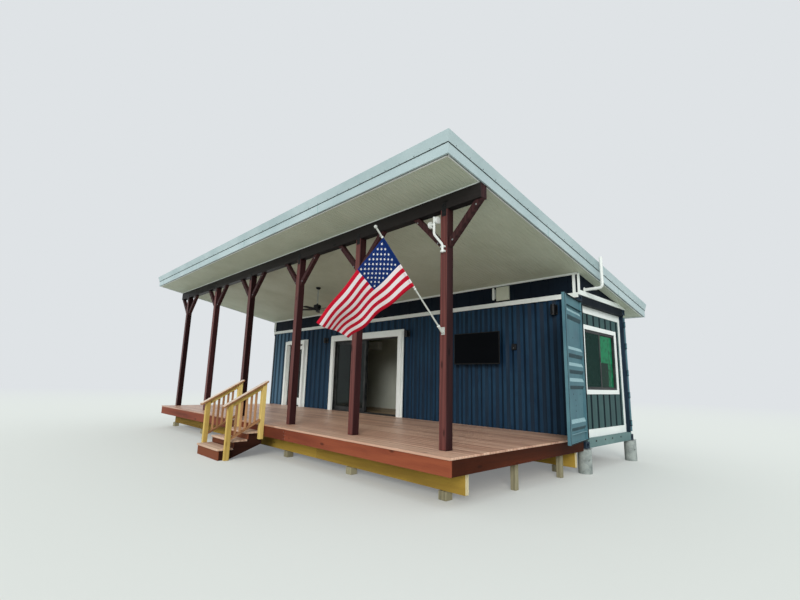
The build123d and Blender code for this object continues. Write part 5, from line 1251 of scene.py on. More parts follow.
@dataclass
class PorchWall:
    """Doors, glass, lamps and fittings along the porch wall."""

    inset: float = 0.004
    patio_pane: tuple[float, float, float, float] = (-7.956, -6.597, 0.769, 2.696)
    pane_at: float = 0.069
    lamps: tuple[Spot, ...] = ((-8.515, 2.77, 0.17), (-4.692, 2.762, 0.172), (-0.495, 2.975, 0.205))
    lamp_width: float = 0.12
    lamp_reach: float = 0.14
    lamp_boss: Pair = (0.05, 0.038)
    boss_from: float = -5.0
    screen_low: Pair = (-2.995, 2.0)
    screen_size: Pair = (1.265, 0.718)
    screen_back: float = -0.086
    screen_thickness: float = 0.06
    bezel: float = 0.016
    air_low: Spot = (-9.18, 2.088, 2.695)
    air_high: Spot = (-8.36, 2.288, 2.99)
    slats: int = 5
    cover_low: Spot = (-1.864, -0.046, 3.412)
    cover_high: Spot = (-1.532, 0.0, 3.722)
    cover_rim: float = 0.006
    cover_lid: float = 0.004
    cover_screw_inset: float = 0.024
    sensor_foot: Spot = (-1.934, -0.044, 3.44)
    outlet_low: Spot = (-1.5, -0.034, 2.3)
    outlet_high: Spot = (-1.39, 0.004, 2.43)

    def build(self, nodes: Nodes) -> None:
        """Dress the doors and make glass, lamps and fittings.

        Args:
            nodes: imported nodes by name.
        """
        repaint(nodes, "door_trims", Palette.trim, 2.0)
        repaint(nodes, "opening_frames", Palette.bronze, 1.5)
        repaint(nodes, "patio_slider", Palette.bronze, 1.5)
        repaint(nodes, "entry_door", Palette.trim, 1.5)
        repaint(nodes, "entry_glass", Palette.dark_glass)
        repaint(nodes, "slider_glass", Palette.dark_glass)
        self.fixed_pane()
        self.wall_lamps()
        self.flat_screen()
        self.air_unit()
        self.boxes()

    def fixed_pane(self) -> None:
        """Fixed pane of the patio door with its glazing beads."""
        x0, x1, z0, z1 = self.patio_pane
        y = self.pane_at
        bead, thick = 0.012, 0.003
        draft = Draft("patio_fixed_pane", Palette.dark_glass, 51)
        draft.board((x0, y - thick, z0), (x1, y + thick, z1), edge=0.0)
        for (a, c), (b, d) in four_bars((x0, z0), (x1, z1), bead, bead):
            draft.board((a, y - 0.014, c), (b, y - 0.002, d), edge=0.002, finish=Palette.bronze)
        draft.finish_piece(replaces=["fixed_glass"])

    def wall_lamps(self) -> None:
        """Cylinder lamps with a lens at both ends, on back plates with two screws."""
        draft = Draft("wall_lamp_set", Palette.black, 52)
        radius = self.lamp_width * 0.42
        y = self.inset - self.lamp_reach + radius
        for x, z, height in self.lamps:
            half = self.lamp_width / 2
            draft.board((x - half, self.inset - 0.018, z), (x + half, self.inset, z + height), edge=0.004)
            draft.board((x - 0.02, y + radius * 0.6, z + height * 0.4),
                        (x + 0.02, self.inset - 0.01, z + height * 0.6))
            reach, depth = self.lamp_boss
            if x > self.boss_from:
                draft.board((x - reach / 2, self.inset - 0.002, z + height * 0.3),
                            (x + reach / 2, self.inset + depth * 0.2, z + height * 0.7))
            foot = [(radius * share, z_in) for share, z_in in (
                (0.72, 0.006), (0.8, 0.0), (0.96, 0.0), (1.0, 0.004), (1.0, 0.018), (0.97, 0.02), (0.97, 0.023),
                (1.0, 0.025))]
            draft.turned(foot + [(r, height - z_in) for r, z_in in reversed(foot)], (x, y, z), sides=36)
            for end, way in ((z + 0.005, -1), (z + height - 0.005, 1)):
                draft.disc((x, y, end), (0, 0, way), radius * 0.7, 0.003, 24, Palette.white, 0.9)
            for dz in (0.12, 0.88):
                draft.disc((x + half * 0.75, self.inset - 0.019, z + height * dz), SOUTH, 0.004, 0.003, 8,
                           Palette.zinc)
        draft.finish_piece(smooth=True, replaces=["wall_lamps"])

    def flat_screen(self) -> None:
        """Flat screen: thin case, bezel, dark glass, vents and its wall bracket."""
        draft = Draft("flat_screen", Palette.black, 53)
        x0, z0 = self.screen_low
        width, height = self.screen_size
        x1, z1 = x0 + width, z0 + height
        front = self.screen_back - self.screen_thickness
        draft.board((x0, front + 0.004, z0), (x1, front + 0.03, z1), edge=0.004)
        draft.board((x0 + 0.12, front + 0.028, z0 + 0.08), (x1 - 0.12, self.screen_back, z1 - 0.16), edge=0.012)
        edge = self.bezel
        for (a, c), (b, d) in four_bars((x0, z0), (x1, z1), edge, foot=1.4):
            draft.board((a, front, c), (b, front + 0.008, d), edge=0.002)
        draft.board((x0 + edge, front + 0.003, z0 + edge * 1.4), (x1 - edge, front + 0.006, z1 - edge), edge=0.0,
                    finish=Palette.screen)
        middle = (x0 + x1) / 2
        level = z0 + height / 2
        for dx in (-0.17, 0.17):
            draft.board((middle + dx - 0.02, self.screen_back - 0.004, level - 0.15),
                        (middle + dx + 0.02, self.screen_back + 0.012, level + 0.15), Axis.UP)
        for dz in (-0.11, 0.11):
            draft.board((middle - 0.21, self.inset - 0.012, level + dz - 0.025),
                        (middle + 0.21, self.inset, level + dz + 0.025))
        draft.board((middle - 0.05, self.screen_back, level - 0.06),
                    (middle + 0.05, self.inset - 0.006, level + 0.06))
        for k in range(14):
            x = middle - 0.26 + 0.04 * k
            draft.board((x, self.screen_back - 0.002, z1 - 0.2), (x + 0.022, self.screen_back + 0.001, z1 - 0.195),
                        edge=0.0, finish=Palette.gap)
        draft.finish_piece(replaces=["wall_fittings"])

    def air_unit(self) -> None:
        """Indoor air unit: rounded case, intake slats on top and a flap over the outlet."""
        draft = Draft("indoor_air_unit", Palette.white, 54)
        x0, y0, z0 = self.air_low
        x1, y1, z1 = self.air_high
        round_off = [(y1, z0), (y0 + 0.09, z0), (y0 + 0.05, z0 + 0.012), (y0 + 0.022, z0 + 0.035),
                     (y0 + 0.006, z0 + 0.07), (y0, z0 + 0.11), (y0, z1 - 0.03), (y0 + 0.008, z1 - 0.01),
                     (y0 + 0.025, z1), (y1, z1)]
        draft.prism(round_off, x0, x1, Axis.ALONG, edge=0.004)
        flap = [(y0 + 0.014, z0 + 0.035), (y0 + 0.085, z0 + 0.002), (y0 + 0.082, z0 - 0.004), (y0 + 0.008, z0 + 0.03)]
        draft.prism(flap, x0 + 0.05, x1 - 0.05, Axis.ALONG, edge=0.001)
        draft.board((x0 + 0.06, y0 - 0.0006, z0 + 0.1), (x1 - 0.06, y0 + 0.001, z0 + 0.102), edge=0.0,
                    finish=Palette.gap)
        for k in range(self.slats):
            y = y0 + 0.05 + 0.026 * k
            draft.board((x0 + 0.05, y, z1), (x1 - 0.05, y + 0.012, z1 + 0.003), edge=0.0)
        draft.finish_piece(replaces=["wall_fittings"])

    def boxes(self) -> None:
        """Cream cover, slim sensor and outlet box with their lids."""
        (x0, y0, z0), (x1, _, z1) = self.cover_low, self.cover_high
        rim, lid, inward = self.cover_rim, self.cover_lid, self.cover_screw_inset
        draft = Draft("cream_cover", Palette.cream_box, 55)
        draft.board(self.cover_low, self.cover_high, edge=0.006)
        draft.board((x0 + rim, y0 - lid, z0 + rim), (x1 - rim, y0 + 0.001, z1 - rim), edge=0.002)
        for x in (x0 + inward, x1 - inward):
            for z in (z0 + inward, z1 - inward):
                draft.disc((x, y0 - lid - 0.0005, z), SOUTH, 0.004, 0.002, 8, Palette.zinc)
        draft.finish_piece(replaces=["wall_fittings"])
        x, y, z = self.sensor_foot
        sensor = Draft("slim_sensor", Palette.white, 56)
        sensor.board((x - 0.031, -0.012, z + 0.03), (x + 0.031, 0.0, z + 0.25), Axis.UP, edge=0.003)
        sensor.turned([(0.014, 0.0), (0.024, 0.006), (0.026, 0.03), (0.026, 0.25), (0.024, 0.274), (0.014, 0.28)],
                      self.sensor_foot, sides=28)
        sensor.board((x - 0.012, y + 0.014, z + 0.08), (x + 0.012, y + 0.038, z + 0.2), Axis.UP)
        sensor.finish_piece(smooth=True, replaces=["wall_fittings"])
        (x0, y0, z0), (x1, _, z1) = self.outlet_low, self.outlet_high
        outlet = Draft("outlet_box", Palette.black, 57)
        outlet.board(self.outlet_low, self.outlet_high, Axis.UP, edge=0.004)
        outlet.board((x0 + 0.004, y0 - 0.007, z0 + 0.006), (x1 - 0.004, y0 + 0.001, z1 - 0.006), Axis.UP,
                     edge=0.005)
        outlet.disc(((x0 + x1) / 2, y0 - 0.008, z0 + 0.04), SOUTH, 0.006, 0.004, 12, Palette.zinc)
        outlet.finish_piece(replaces=["wall_fittings"])


@dataclass
class RoofWork:
    """Soffit beads, fascia, roof sheet, gutter and the knee wall under them."""

    x0: float = -12.37
    x1: float = 0.215
    front: float = -4.22
    back: float = 3.03
    soffit: float = 0.012
    bead_pitch: float = 0.0762
    bead_width: float = 0.009
    bead_depth: float = 0.005
    trim_width: float = 0.022
    gap_width: float = 0.016
    fascia_face: float = 0.025
    ledge: float = 0.012
    band: float = 0.15
    band_length: float = 3.05
    rake_joints: Pair = (-1.6, 1.45)
    screw_pitch: float = 0.305
    rib_pitch: float = 0.305
    rib_top: float = 0.281
    screw_rows: tuple[float, ...] = (-4.12, -3.5, -2.9, -2.3, -1.7, -1.1, -0.5, 0.1, 0.7, 1.3, 1.9, 2.5, 2.95)

    def build(self, nodes: Nodes) -> None:
        """Dress the roof's nodes and add the beaded soffit with its edge trim.

        Args:
            nodes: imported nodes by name.
        """
        for name, finish in (("fascia", Palette.fascia), ("roof_panels", Palette.roof),
                             ("gutter", Palette.drip), ("knee_wall", Palette.knee)):
            repaint(nodes, name, finish)
        repaint(nodes, "knee_trim", Palette.trim, 2.0)
        repaint(nodes, "rafters", Palette.framing)
        self.beaded_soffit()
        self.edge_trim()
        self.roofing_screws()
        self.fascia_details()

    def roofing_screws(self) -> None:
        """Hex-headed screws with washers along every rib of the roof sheet."""
        draft = Draft("roofing_screws", Palette.zinc, 61)
        up = Vector((0.0, ROOF.slope, 1.0)).normalized()
        length = self.x1 - self.x0
        count = int(length / self.rib_pitch)
        first = self.x0 + (length - count * self.rib_pitch) / 2 + self.rib_pitch / 2
        for k in range(count):
            for y in self.screw_rows:
                place = Vector((first + self.rib_pitch * k, y, ROOF.z(y) + self.rib_top))
                draft.disc(place + up * 0.001, up, 0.009, 0.002, 8)
                draft.disc(place + up * 0.004, up, 0.005, 0.006, 6)
        draft.finish_piece()

    def fascia_details(self) -> None:
        """Shadow gap and screws under the drip trim, and the cover strips where fascia lengths meet."""
        draft = Draft("fascia_details", Palette.drip, 62)
        out = self.fascia_face
        front = self.front - out
        ends = (self.x0 - out, self.x1 + out)
        gap = 0.007
        y0, y1, top = front, self.back + out, self.band - gap
        draft.board((ends[0], front - self.ledge * 0.6, ROOF.z(front) + top),
                    (ends[1], front + 0.002, ROOF.z(front) + self.band), edge=0.0, finish=Palette.gap)
        for x, way in zip(ends, (-1, 1)):
            a, b = sorted((x - way * 0.002, x + way * self.ledge * 0.6))
            draft.prism(ROOF.band(y0, y1, top, self.band), a, b, Axis.ALONG, edge=0.0, finish=Palette.gap)
        proud, high = self.ledge + 0.006, self.band + 0.016
        heads = [((x, front - proud, ROOF.z(self.front) + high), (0, -1, 0.27))
                 for x in steps(self.x0 + 0.1, self.x1, self.screw_pitch)]
        heads += [((edge + way * proud, y, ROOF.z(y) + high), (way, 0, 0.27))
                  for y in steps(self.front + 0.12, self.back, self.screw_pitch) for edge, way in zip(ends, (-1, 1))]
        for place, out_of in heads:
            draft.disc(place, out_of, 0.0055, 0.006, 8, Palette.rubber)
        half = 0.012
        for k in range(1, math.ceil((self.x1 - self.x0) / self.band_length)):
            x = self.x1 - k * self.band_length
            draft.board((x - half, front - 0.0015, ROOF.z(self.front) - 0.006),
                        (x + half, front + 0.002, ROOF.z(self.front) + top), Axis.UP, edge=0.0005)
        for y in self.rake_joints:
            for x, way in zip(ends, (-1, 1)):
                a, b = sorted((x - way * 0.002, x + way * 0.0015))
                draft.prism([(y - half, ROOF.z(y) - 0.004), (y + half, ROOF.z(y) - 0.006),
                             (y + half, ROOF.z(y) + top - 0.003), (y - half, ROOF.z(y) + top)],
                            a, b, Axis.ALONG, edge=0.0)
        draft.finish_piece()

    def beaded_soffit(self) -> None:
        """Soffit panel with a V-shaped bead at each pitch, running down the slope."""
        draft = Draft("beaded_soffit", Palette.soffit, 7)
        mesh = bmesh.new()
        line: list[Pair] = [(self.x0, 0.0)]
        count = int((self.x1 - self.x0) / self.bead_pitch)
        start = self.x0 + ((self.x1 - self.x0) - count * self.bead_pitch) / 2
        for k in range(count + 1):
            middle = start + k * self.bead_pitch
            if middle - self.x0 < self.bead_width or self.x1 - middle < self.bead_width:
                continue
            line += [(middle - self.bead_width / 2, 0.0), (middle, self.bead_depth),
                     (middle + self.bead_width / 2, 0.0)]
        line.append((self.x1, 0.0))
        rows = []
        for y in (self.front, self.back):
            low = [mesh.verts.new((x, y, ROOF.z(y) + rise)) for x, rise in line]
            top = [mesh.verts.new((x, y, ROOF.z(y) + self.soffit)) for x, _ in line]
            rows.append((low, top))
        (low_a, top_a), (low_b, top_b) = rows
        for k in range(len(line) - 1):
            mesh.faces.new((low_a[k], low_b[k], low_b[k + 1], low_a[k + 1]))
            mesh.faces.new((top_a[k], top_a[k + 1], top_b[k + 1], top_b[k]))
            mesh.faces.new((low_a[k], low_a[k + 1], top_a[k + 1], top_a[k]))
            mesh.faces.new((low_b[k], top_b[k], top_b[k + 1], low_b[k + 1]))
        mesh.faces.new((low_a[0], top_a[0], top_b[0], low_b[0]))
        mesh.faces.new((low_a[-1], low_b[-1], top_b[-1], top_a[-1]))
        draft.take(mesh, Axis.ACROSS, tone=0.5)
        draft.finish_piece(replaces=["soffit"])

    def edge_trim(self) -> None:
        """Pale trim along the soffit's edges, a dark gap away from the fascia."""
        draft = Draft("soffit_edge_trim", Palette.trim, 8)
        gap, wide = self.gap_width, self.trim_width
        # The dark strip next to the fascia is painted shade in the gap.
        for low, high, finish, drop in ((0.0, gap, Palette.gap, 0.001), (gap, gap + wide, Palette.trim, 0.007)):
            for (xa, ya), (xb, yb) in (((self.x0, self.front + low), (self.x1, self.front + high)),
                                       ((self.x0, self.back - high), (self.x1, self.back - low)),
                                       ((self.x0 + low, self.front + low), (self.x0 + high, self.back - low)),
                                       ((self.x1 - high, self.front + low), (self.x1 - low, self.back - low))):
                draft.prism(ROOF.band(ya, yb, -drop, 0.002), xa, xb, Axis.ALONG, edge=0.0, finish=finish)
        draft.finish_piece()


@dataclass
class PorchFrame:
    """Posts, beam, knee braces and their steel straps."""

    line: float = -3.42
    post: float = 0.14
    deck_top: float = 0.642
    beam_depth: float = 0.235
    beam_x: Pair = (-12.37, 0.215)
    brace: float = 0.089
    leg: float = 0.61
    strip: float = 0.014

    @property
    def beam_top(self) -> float:
        """Height of the beam's top at its porch face."""
        return ROOF.z(self.line - self.post / 2)

    @property
    def beam_bottom(self) -> float:
        """Height of the beam's underside."""
        return self.beam_top - self.beam_depth

    def build(self) -> None:
        """Make posts, beam, braces and straps."""
        self.posts()
        self.beam()
        self.braces()
        self.straps()

    def posts(self) -> None:
        """Six square posts with eased arrises."""
        draft = Draft("stained_posts", Palette.post_shaded, 11)
        half = self.post / 2
        # The shaded copy of the stain paints shade on the posts, and faces towards the porch front take the lit copy
        # as painted light.
        for x in POST_PLACES:
            draft.board((x - half, self.line - half, self.deck_top), (x + half, self.line + half, self.beam_bottom),
                        Axis.UP, edge=0.007, turned_to=Facing((0.0, -1.0, 0.0), Palette.post))
        draft.finish_piece(replaces=["porch_posts"])

    def beam(self) -> None:
        """Beam in three lengths that meet over posts, its top cut to the slope."""
        draft = Draft("stained_beam", Palette.beam, 12)
        y0 = self.line - self.post / 2
        y1 = self.line + self.post / 2
        outline = [(y0, self.beam_bottom), (y1, self.beam_bottom), (y1, ROOF.z(y1)), (y0, ROOF.z(y0))]
        cuts = [self.beam_x[0], POST_PLACES[4], POST_PLACES[2], self.beam_x[1]]
        # The beam's faces turned to +x take the brace finish with its painted shade.
        for a, b in zip(cuts, cuts[1:]):
            draft.prism(outline, a + 0.001, b - 0.001, Axis.ALONG, edge=0.003,
                        turned_to=Facing((1.0, 0.0, 0.0), Palette.brace))
        draft.finish_piece(replaces=["porch_beam"])
        strip = Draft("beam_strips", Palette.trim, 16)
        for a, b in ((y0 - self.strip, y0), (y1, y1 + self.strip)):
            strip.prism(ROOF.band(a, b, -self.strip, 0.0), self.beam_x[0] + 0.04, self.beam_x[1] - 0.04, Axis.ALONG)
        strip.finish_piece()

    def braces(self) -> None:
        """A pair of mitred braces at each post."""
        draft = Draft("stained_braces", Palette.brace, 13)
        # The brace finish paints shade under the roof with a darker copy of the post stain.
        wide = self.brace * math.sqrt(2)
        y0 = self.line - self.brace / 2
        for place in POST_PLACES:
            for side in (-1, 1):
                foot, z = place + side * self.post / 2, self.beam_bottom
                outline = [(foot, z - self.leg), (foot + side * self.leg, z),
                           (foot + side * (self.leg - wide), z), (foot, z - self.leg + wide)]
                draft.prism(outline, y0, y0 + self.brace, Axis.ACROSS, along=Axis.UP)
                for across, up in ((0.075, -self.leg + 0.1), (self.leg - 0.1, -0.075)):
                    for out, radius, height, sides in ((0.002, 0.014, 0.004, 16), (0.006, 0.009, 0.007, 6)):
                        draft.disc((foot + side * across, y0 - out, z + up), SOUTH, radius, height, sides,
                                   Palette.zinc)
        draft.finish_piece(replaces=["knee_braces"])

    def straps(self) -> None:
        """Bolted steel straps that tie each post to the beam."""
        draft = Draft("post_straps", Palette.black, 14)
        face = self.line - self.post / 2
        low = self.beam_bottom - 0.11
        for x in POST_PLACES:
            draft.board((x - 0.045, face - 0.004, low), (x + 0.045, face, self.beam_bottom + 0.1), Axis.UP,
                        edge=0.001)
            for dz in (0.025, 0.085, 0.15, 0.185):
                for dx in (-0.024, 0.024):
                    draft.disc((x + dx, face - 0.007, low + dz), SOUTH, 0.007, 0.008, 6)
        draft.finish_piece()


@dataclass
class Deck:
    """Deck boards, rim, joists and girders."""

    x0: float = -11.81
    x1: float = -0.01
    depth: float = 3.87
    wall_gap: float = 0.006
    top: float = 0.642
    board: float = 0.032
    overhang: float = 0.012
    rim_bottom: float = 0.406
    plank: float = 0.038
    joist_height: float = 0.184
    joist_back: float = 0.071
    joists: int = 28
    girder_height: float = 0.286
    girder_width: float = 0.076
    girder_inset: float = 0.09
    girder_rows: tuple[float, ...] = (-3.42, -0.22)
    girder_joints: tuple[Pair, Pair] = ((-7.04, -3.6), (-9.33, -4.66))
    rim_joints: Pair = (-8.05, -4.1)
    stub: float = 0.14
    end_stub: float = 0.089
    end_stub_rows: tuple[float, ...] = (-2.1517, -0.6966)
    end_stub_inset: float = 0.12
    rows: int = 27
    gap: float = 0.005
    butt: float = 0.0012

    def build(self) -> None:
        """Make every timber of the deck."""
        self.surface()
        self.rim()
        self.bearers()

    def surface(self) -> None:
        """Boards along the porch with staggered butt joints and two screws at each joist."""
        draft = Draft("deck_planks", Palette.deck, 21)
        screws = Draft("deck_screws", Palette.zinc, 22)
        x0 = self.x0 - self.overhang
        y0 = -self.depth - self.overhang
        pitch = (-self.wall_gap - y0) / self.rows
        spacing = (self.x1 - x0) / (self.joists + 1)
        for row in range(self.rows):
            low = y0 + row * pitch
            first = (3 + row * 5) % 9 + 4
            cuts = [x0] + [x0 + spacing * k for k in range(first, self.joists, 11)] + [self.x1]
            for a, b in zip(cuts, cuts[1:]):
                sink = draft.random.uniform(0.0, self.butt)
                draft.board((a + self.butt, low + self.gap / 2, self.top - self.board),
                            (b - self.butt, low + pitch - self.gap / 2, self.top - sink), edge=0.004)
            for k in range(1, self.joists + 1):
                for share in (0.22, 0.78):
                    screws.disc((x0 + spacing * k, low + pitch * share, self.top - 0.0006), (0, 0, 1), 0.0045,
                                0.0016, 6)
        draft.finish_piece(replaces=["deck_boards"])
        screws.finish_piece()

    def rim(self) -> None:
        """Wide rim boards, the long one in three lengths."""
        draft = Draft("deck_rim_boards", Palette.rim, 23)
        t = self.plank
        x1 = self.x1 - 0.004
        top = self.top - self.board
        y0 = -self.depth
        cuts = [self.x0, *self.rim_joints, x1]
        for a, b in zip(cuts, cuts[1:]):
            draft.board((a + 0.001, y0, self.rim_bottom), (b - 0.001, y0 + t, top), edge=0.004)
        # The near end board takes the darker copy of the rim stain as painted shade.
        for x, finish in ((self.x0, Palette.rim), (x1 - t, Palette.rim_shaded)):
            draft.board((x, y0 + t + 0.001, self.rim_bottom), (x + t, -self.joist_back, top), Axis.ACROSS,
                        edge=0.004, finish=finish)
        for x in self.rim_joints:
            for dx in (-0.03, 0.03):
                for dz in (0.04, 0.1, 0.16):
                    draft.disc((x + dx, y0 - 0.001, self.rim_bottom + dz), SOUTH, 0.005, 0.003, 8, Palette.zinc)
        draft.finish_piece(replaces=["deck_rim"])

    def bearers(self) -> None:
        """Joists, doubled girders and the short posts under them."""
        joists = Draft("deck_joist_timbers", Palette.pine, 24)
        x0 = self.x0 + self.plank
        x1 = self.x1 - 0.004 - self.plank
        count = int((x1 - x0) / 0.406)
        top = self.top - self.board
        for k in range(1, count + 1):
            x = x0 + (x1 - x0) * k / (count + 1)
            joists.board((x - self.plank / 2, -self.depth + self.plank, top - self.joist_height),
                         (x + self.plank / 2, -self.joist_back, top), Axis.ACROSS)
        last = x0 + (x1 - x0) * count / (count + 1) + self.plank / 2
        for y in self.end_stub_rows:
            joists.board((last, y - self.plank / 2, top - self.joist_height), (x1, y + self.plank / 2, top))
        joists.finish_piece(replaces=["deck_joists"])
        girders = Draft("deck_girder_timbers", Palette.pine, 25)
        z1 = self.rim_bottom
        z0 = z1 - self.girder_height
        foot = top - self.joist_height
        for y in self.girder_rows:
            half = self.girder_width / 2
            for (a, b), joints in zip(((y - half, y - 0.0005), (y + 0.0005, y + half)), self.girder_joints):
                cuts = (self.x0 + self.girder_inset, *joints, self.x1 - self.girder_inset)
                for c, d in zip(cuts, cuts[1:]):
                    girders.board((c + 0.001, a, z0), (d - 0.001, b, z1),
                                  turned_to=Facing((1.0, 0.0, 0.0), Palette.pine_end))
            girders.board((x0, y - self.plank / 2, z1), (x1, y + self.plank / 2, foot))
            half = self.stub / 2
            for x in POST_PLACES:
                girders.board((x - half, y - half, 0.0), (x + half, y + half, z0), Axis.UP, edge=0.005,
                              finish=Palette.stub)
        near = self.x1 - 0.004 - self.end_stub_inset
        for y in self.end_stub_rows:
            girders.board((near - self.end_stub, y - self.end_stub / 2, 0.0), (near, y + self.end_stub / 2, foot),
                          Axis.UP, edge=0.004, finish=Palette.stub)
        girders.finish_piece(replaces=["deck_girders"])


@dataclass
class Stair:
    """Three treads with stringers, newels, rails and balusters."""

    far: float = -6.1
    near: float = -4.95
    rim: float = -3.87
    top: float = 0.642
    rise: float = 0.143
    run: float = 0.283
    treads: int = 3
    nosing: float = 0.025
    riser: float = 0.019
    plank: float = 0.038
    newel: float = 0.089
    lower_out: float = 0.73
    upper_foot: float = 0.35
    cap_low: Pair = (0.87, 1.015)
    cap_high: Pair = (-0.01, 1.52)
    cap_width: float = 0.14
    rail_drop: float = 0.71
    rail_depth: float = 0.089
    baluster: float = 0.038
    balusters: int = 5
    baluster_shift: float = 0.02
    overhang: float = 0.012

    def edge(self, step: int) -> float:
        """Place of a step's stringer cut; step 0 is the deck's rim."""
        return self.rim - self.run * step

    def tread_top(self, step: int) -> float:
        """Height of a tread, counted down from the deck."""
        return self.top - self.rise * step

    def cap_z(self, y: float) -> float:
        """Height of the top of the sloping hand rail."""
        low_y = self.rim - self.cap_low[0]
        high_y = self.rim - self.cap_high[0]
        share = (y - low_y) / (high_y - low_y)
        return self.cap_low[1] + (self.cap_high[1] - self.cap_low[1]) * share

    def build(self) -> None:
        """Make carriage, treads and both railings."""
        self.carriage()
        self.steps()
        self.railings()

    def carriage(self) -> None:
        """Saw-tooth stringers and riser boards."""
        draft = Draft("stair_stringers", Palette.tread, 31)
        outline = []
        for step in range(1, self.treads + 1):
            top = self.tread_top(step) - self.plank
            outline += [(self.edge(step - 1), top), (self.edge(step), top)]
        foot = self.edge(self.treads)
        outline += [(foot, 0.0), (foot + 0.18, 0.0), (self.edge(0), 0.256)]
        inner_far = self.far + self.newel / 2
        inner_near = self.near - self.newel / 2
        middle = (inner_far + inner_near) / 2
        # The stringers take a darker copy of the step stain as painted shade.
        for x in (inner_far, middle - self.plank / 2, inner_near - self.plank):
            draft.prism(outline, x, x + self.plank, Axis.ALONG, along=Axis.ACROSS, edge=0.0, finish=Palette.stringer)
        for step in range(1, self.treads + 1):
            low = self.tread_top(step + 1) if step < self.treads else 0.0
            y = self.edge(step)
            draft.board((inner_far, y - self.riser, low), (inner_near, y, self.tread_top(step) - self.plank))
        draft.finish_piece(replaces=["stair_carriage"])

    def steps(self) -> None:
        """Each tread as two boards with a gap between them."""
        draft = Draft("stair_tread_boards", Palette.step, 32)
        for step in range(1, self.treads + 1):
            back = self.edge(step - 1) - (self.riser if step > 1 else self.overhang)
            front = self.edge(step) - self.riser - self.nosing
            middle = (back + front) / 2
            for a, b in ((front, middle - 0.002), (middle + 0.002, back)):
                draft.board((self.far + self.newel / 2, a, self.tread_top(step) - self.plank),
                            (self.near - self.newel / 2, b, self.tread_top(step)), edge=0.005)
        draft.finish_piece(replaces=["stair_treads"])

    def slope(self, y0: float, y1: float, first: float, second: float) -> list[Pair]:
        """Outline between two drops below the top of the hand rail."""
        return [(y0, self.cap_z(y0) - first), (y1, self.cap_z(y1) - first),
                (y1, self.cap_z(y1) - second), (y0, self.cap_z(y0) - second)]

    def slope_board(self, draft: Draft, x: float, width: float, ends: Pair, drop: float, depth: float,
                    finish: Finish | None = None, turned_to: Facing | None = None) -> None:
        """Add a rail parallel to the hand rail, a drop below its top."""
        draft.prism(self.slope(*ends, drop, drop + depth), x - width / 2, x + width / 2, Axis.ALONG,
                    along=Axis.ACROSS, edge=0.004, finish=finish, turned_to=turned_to)

    def railings(self) -> None:
        """Newels, cap, rails and balusters on both sides."""
        draft = Draft("stair_rail_timbers", Palette.rail, 33)
        lower = self.rim - self.lower_out
        upper = self.rim - self.overhang - self.newel / 2 - 0.001
        half, t = self.newel / 2, self.baluster / 2
        foot = self.rim - self.cap_low[0]
        for x in (self.far, self.near):
            # Faces of the hand rail that look up and forward take the paler cap finish.
            self.slope_board(draft, x, self.cap_width, (foot, self.rim - self.cap_high[0]), 0.0, self.plank,
                             Palette.baluster, Facing((0.0, -0.5, 0.87), Palette.cap))
            for y, bottom in ((lower, 0.0), (upper, self.upper_foot)):
                outline = [(y - half, bottom), (y + half, bottom), (y + half, self.cap_z(y + half) - self.plank),
                           (y - half, self.cap_z(y - half) - self.plank)]
                draft.prism(outline, x - half, x + half, Axis.ALONG, along=Axis.UP, edge=0.004)
            a, b = lower + half, upper - half
            self.slope_board(draft, x, self.plank, (a, b), self.plank, self.rail_depth)
            self.slope_board(draft, x, self.rail_depth, (a, b), self.rail_drop, self.plank, Palette.baluster)
            middle = x - self.baluster_shift
            for k in range(self.balusters):
                y = a + (b - a) * (k + 1) / (self.balusters + 1)
                draft.prism(self.slope(y - t, y + t, self.rail_drop, self.plank), middle - t, middle + t, Axis.ALONG,
                            along=Axis.UP, finish=Palette.baluster)
            for k in range(5):
                y = foot + 0.09 + 0.17 * k
                draft.disc((x, y, self.cap_z(y) + 0.0005), (0, -0.57, 1), 0.0045, 0.002, 8, Palette.zinc)
        draft.finish_piece(replaces=["stair_railings"])


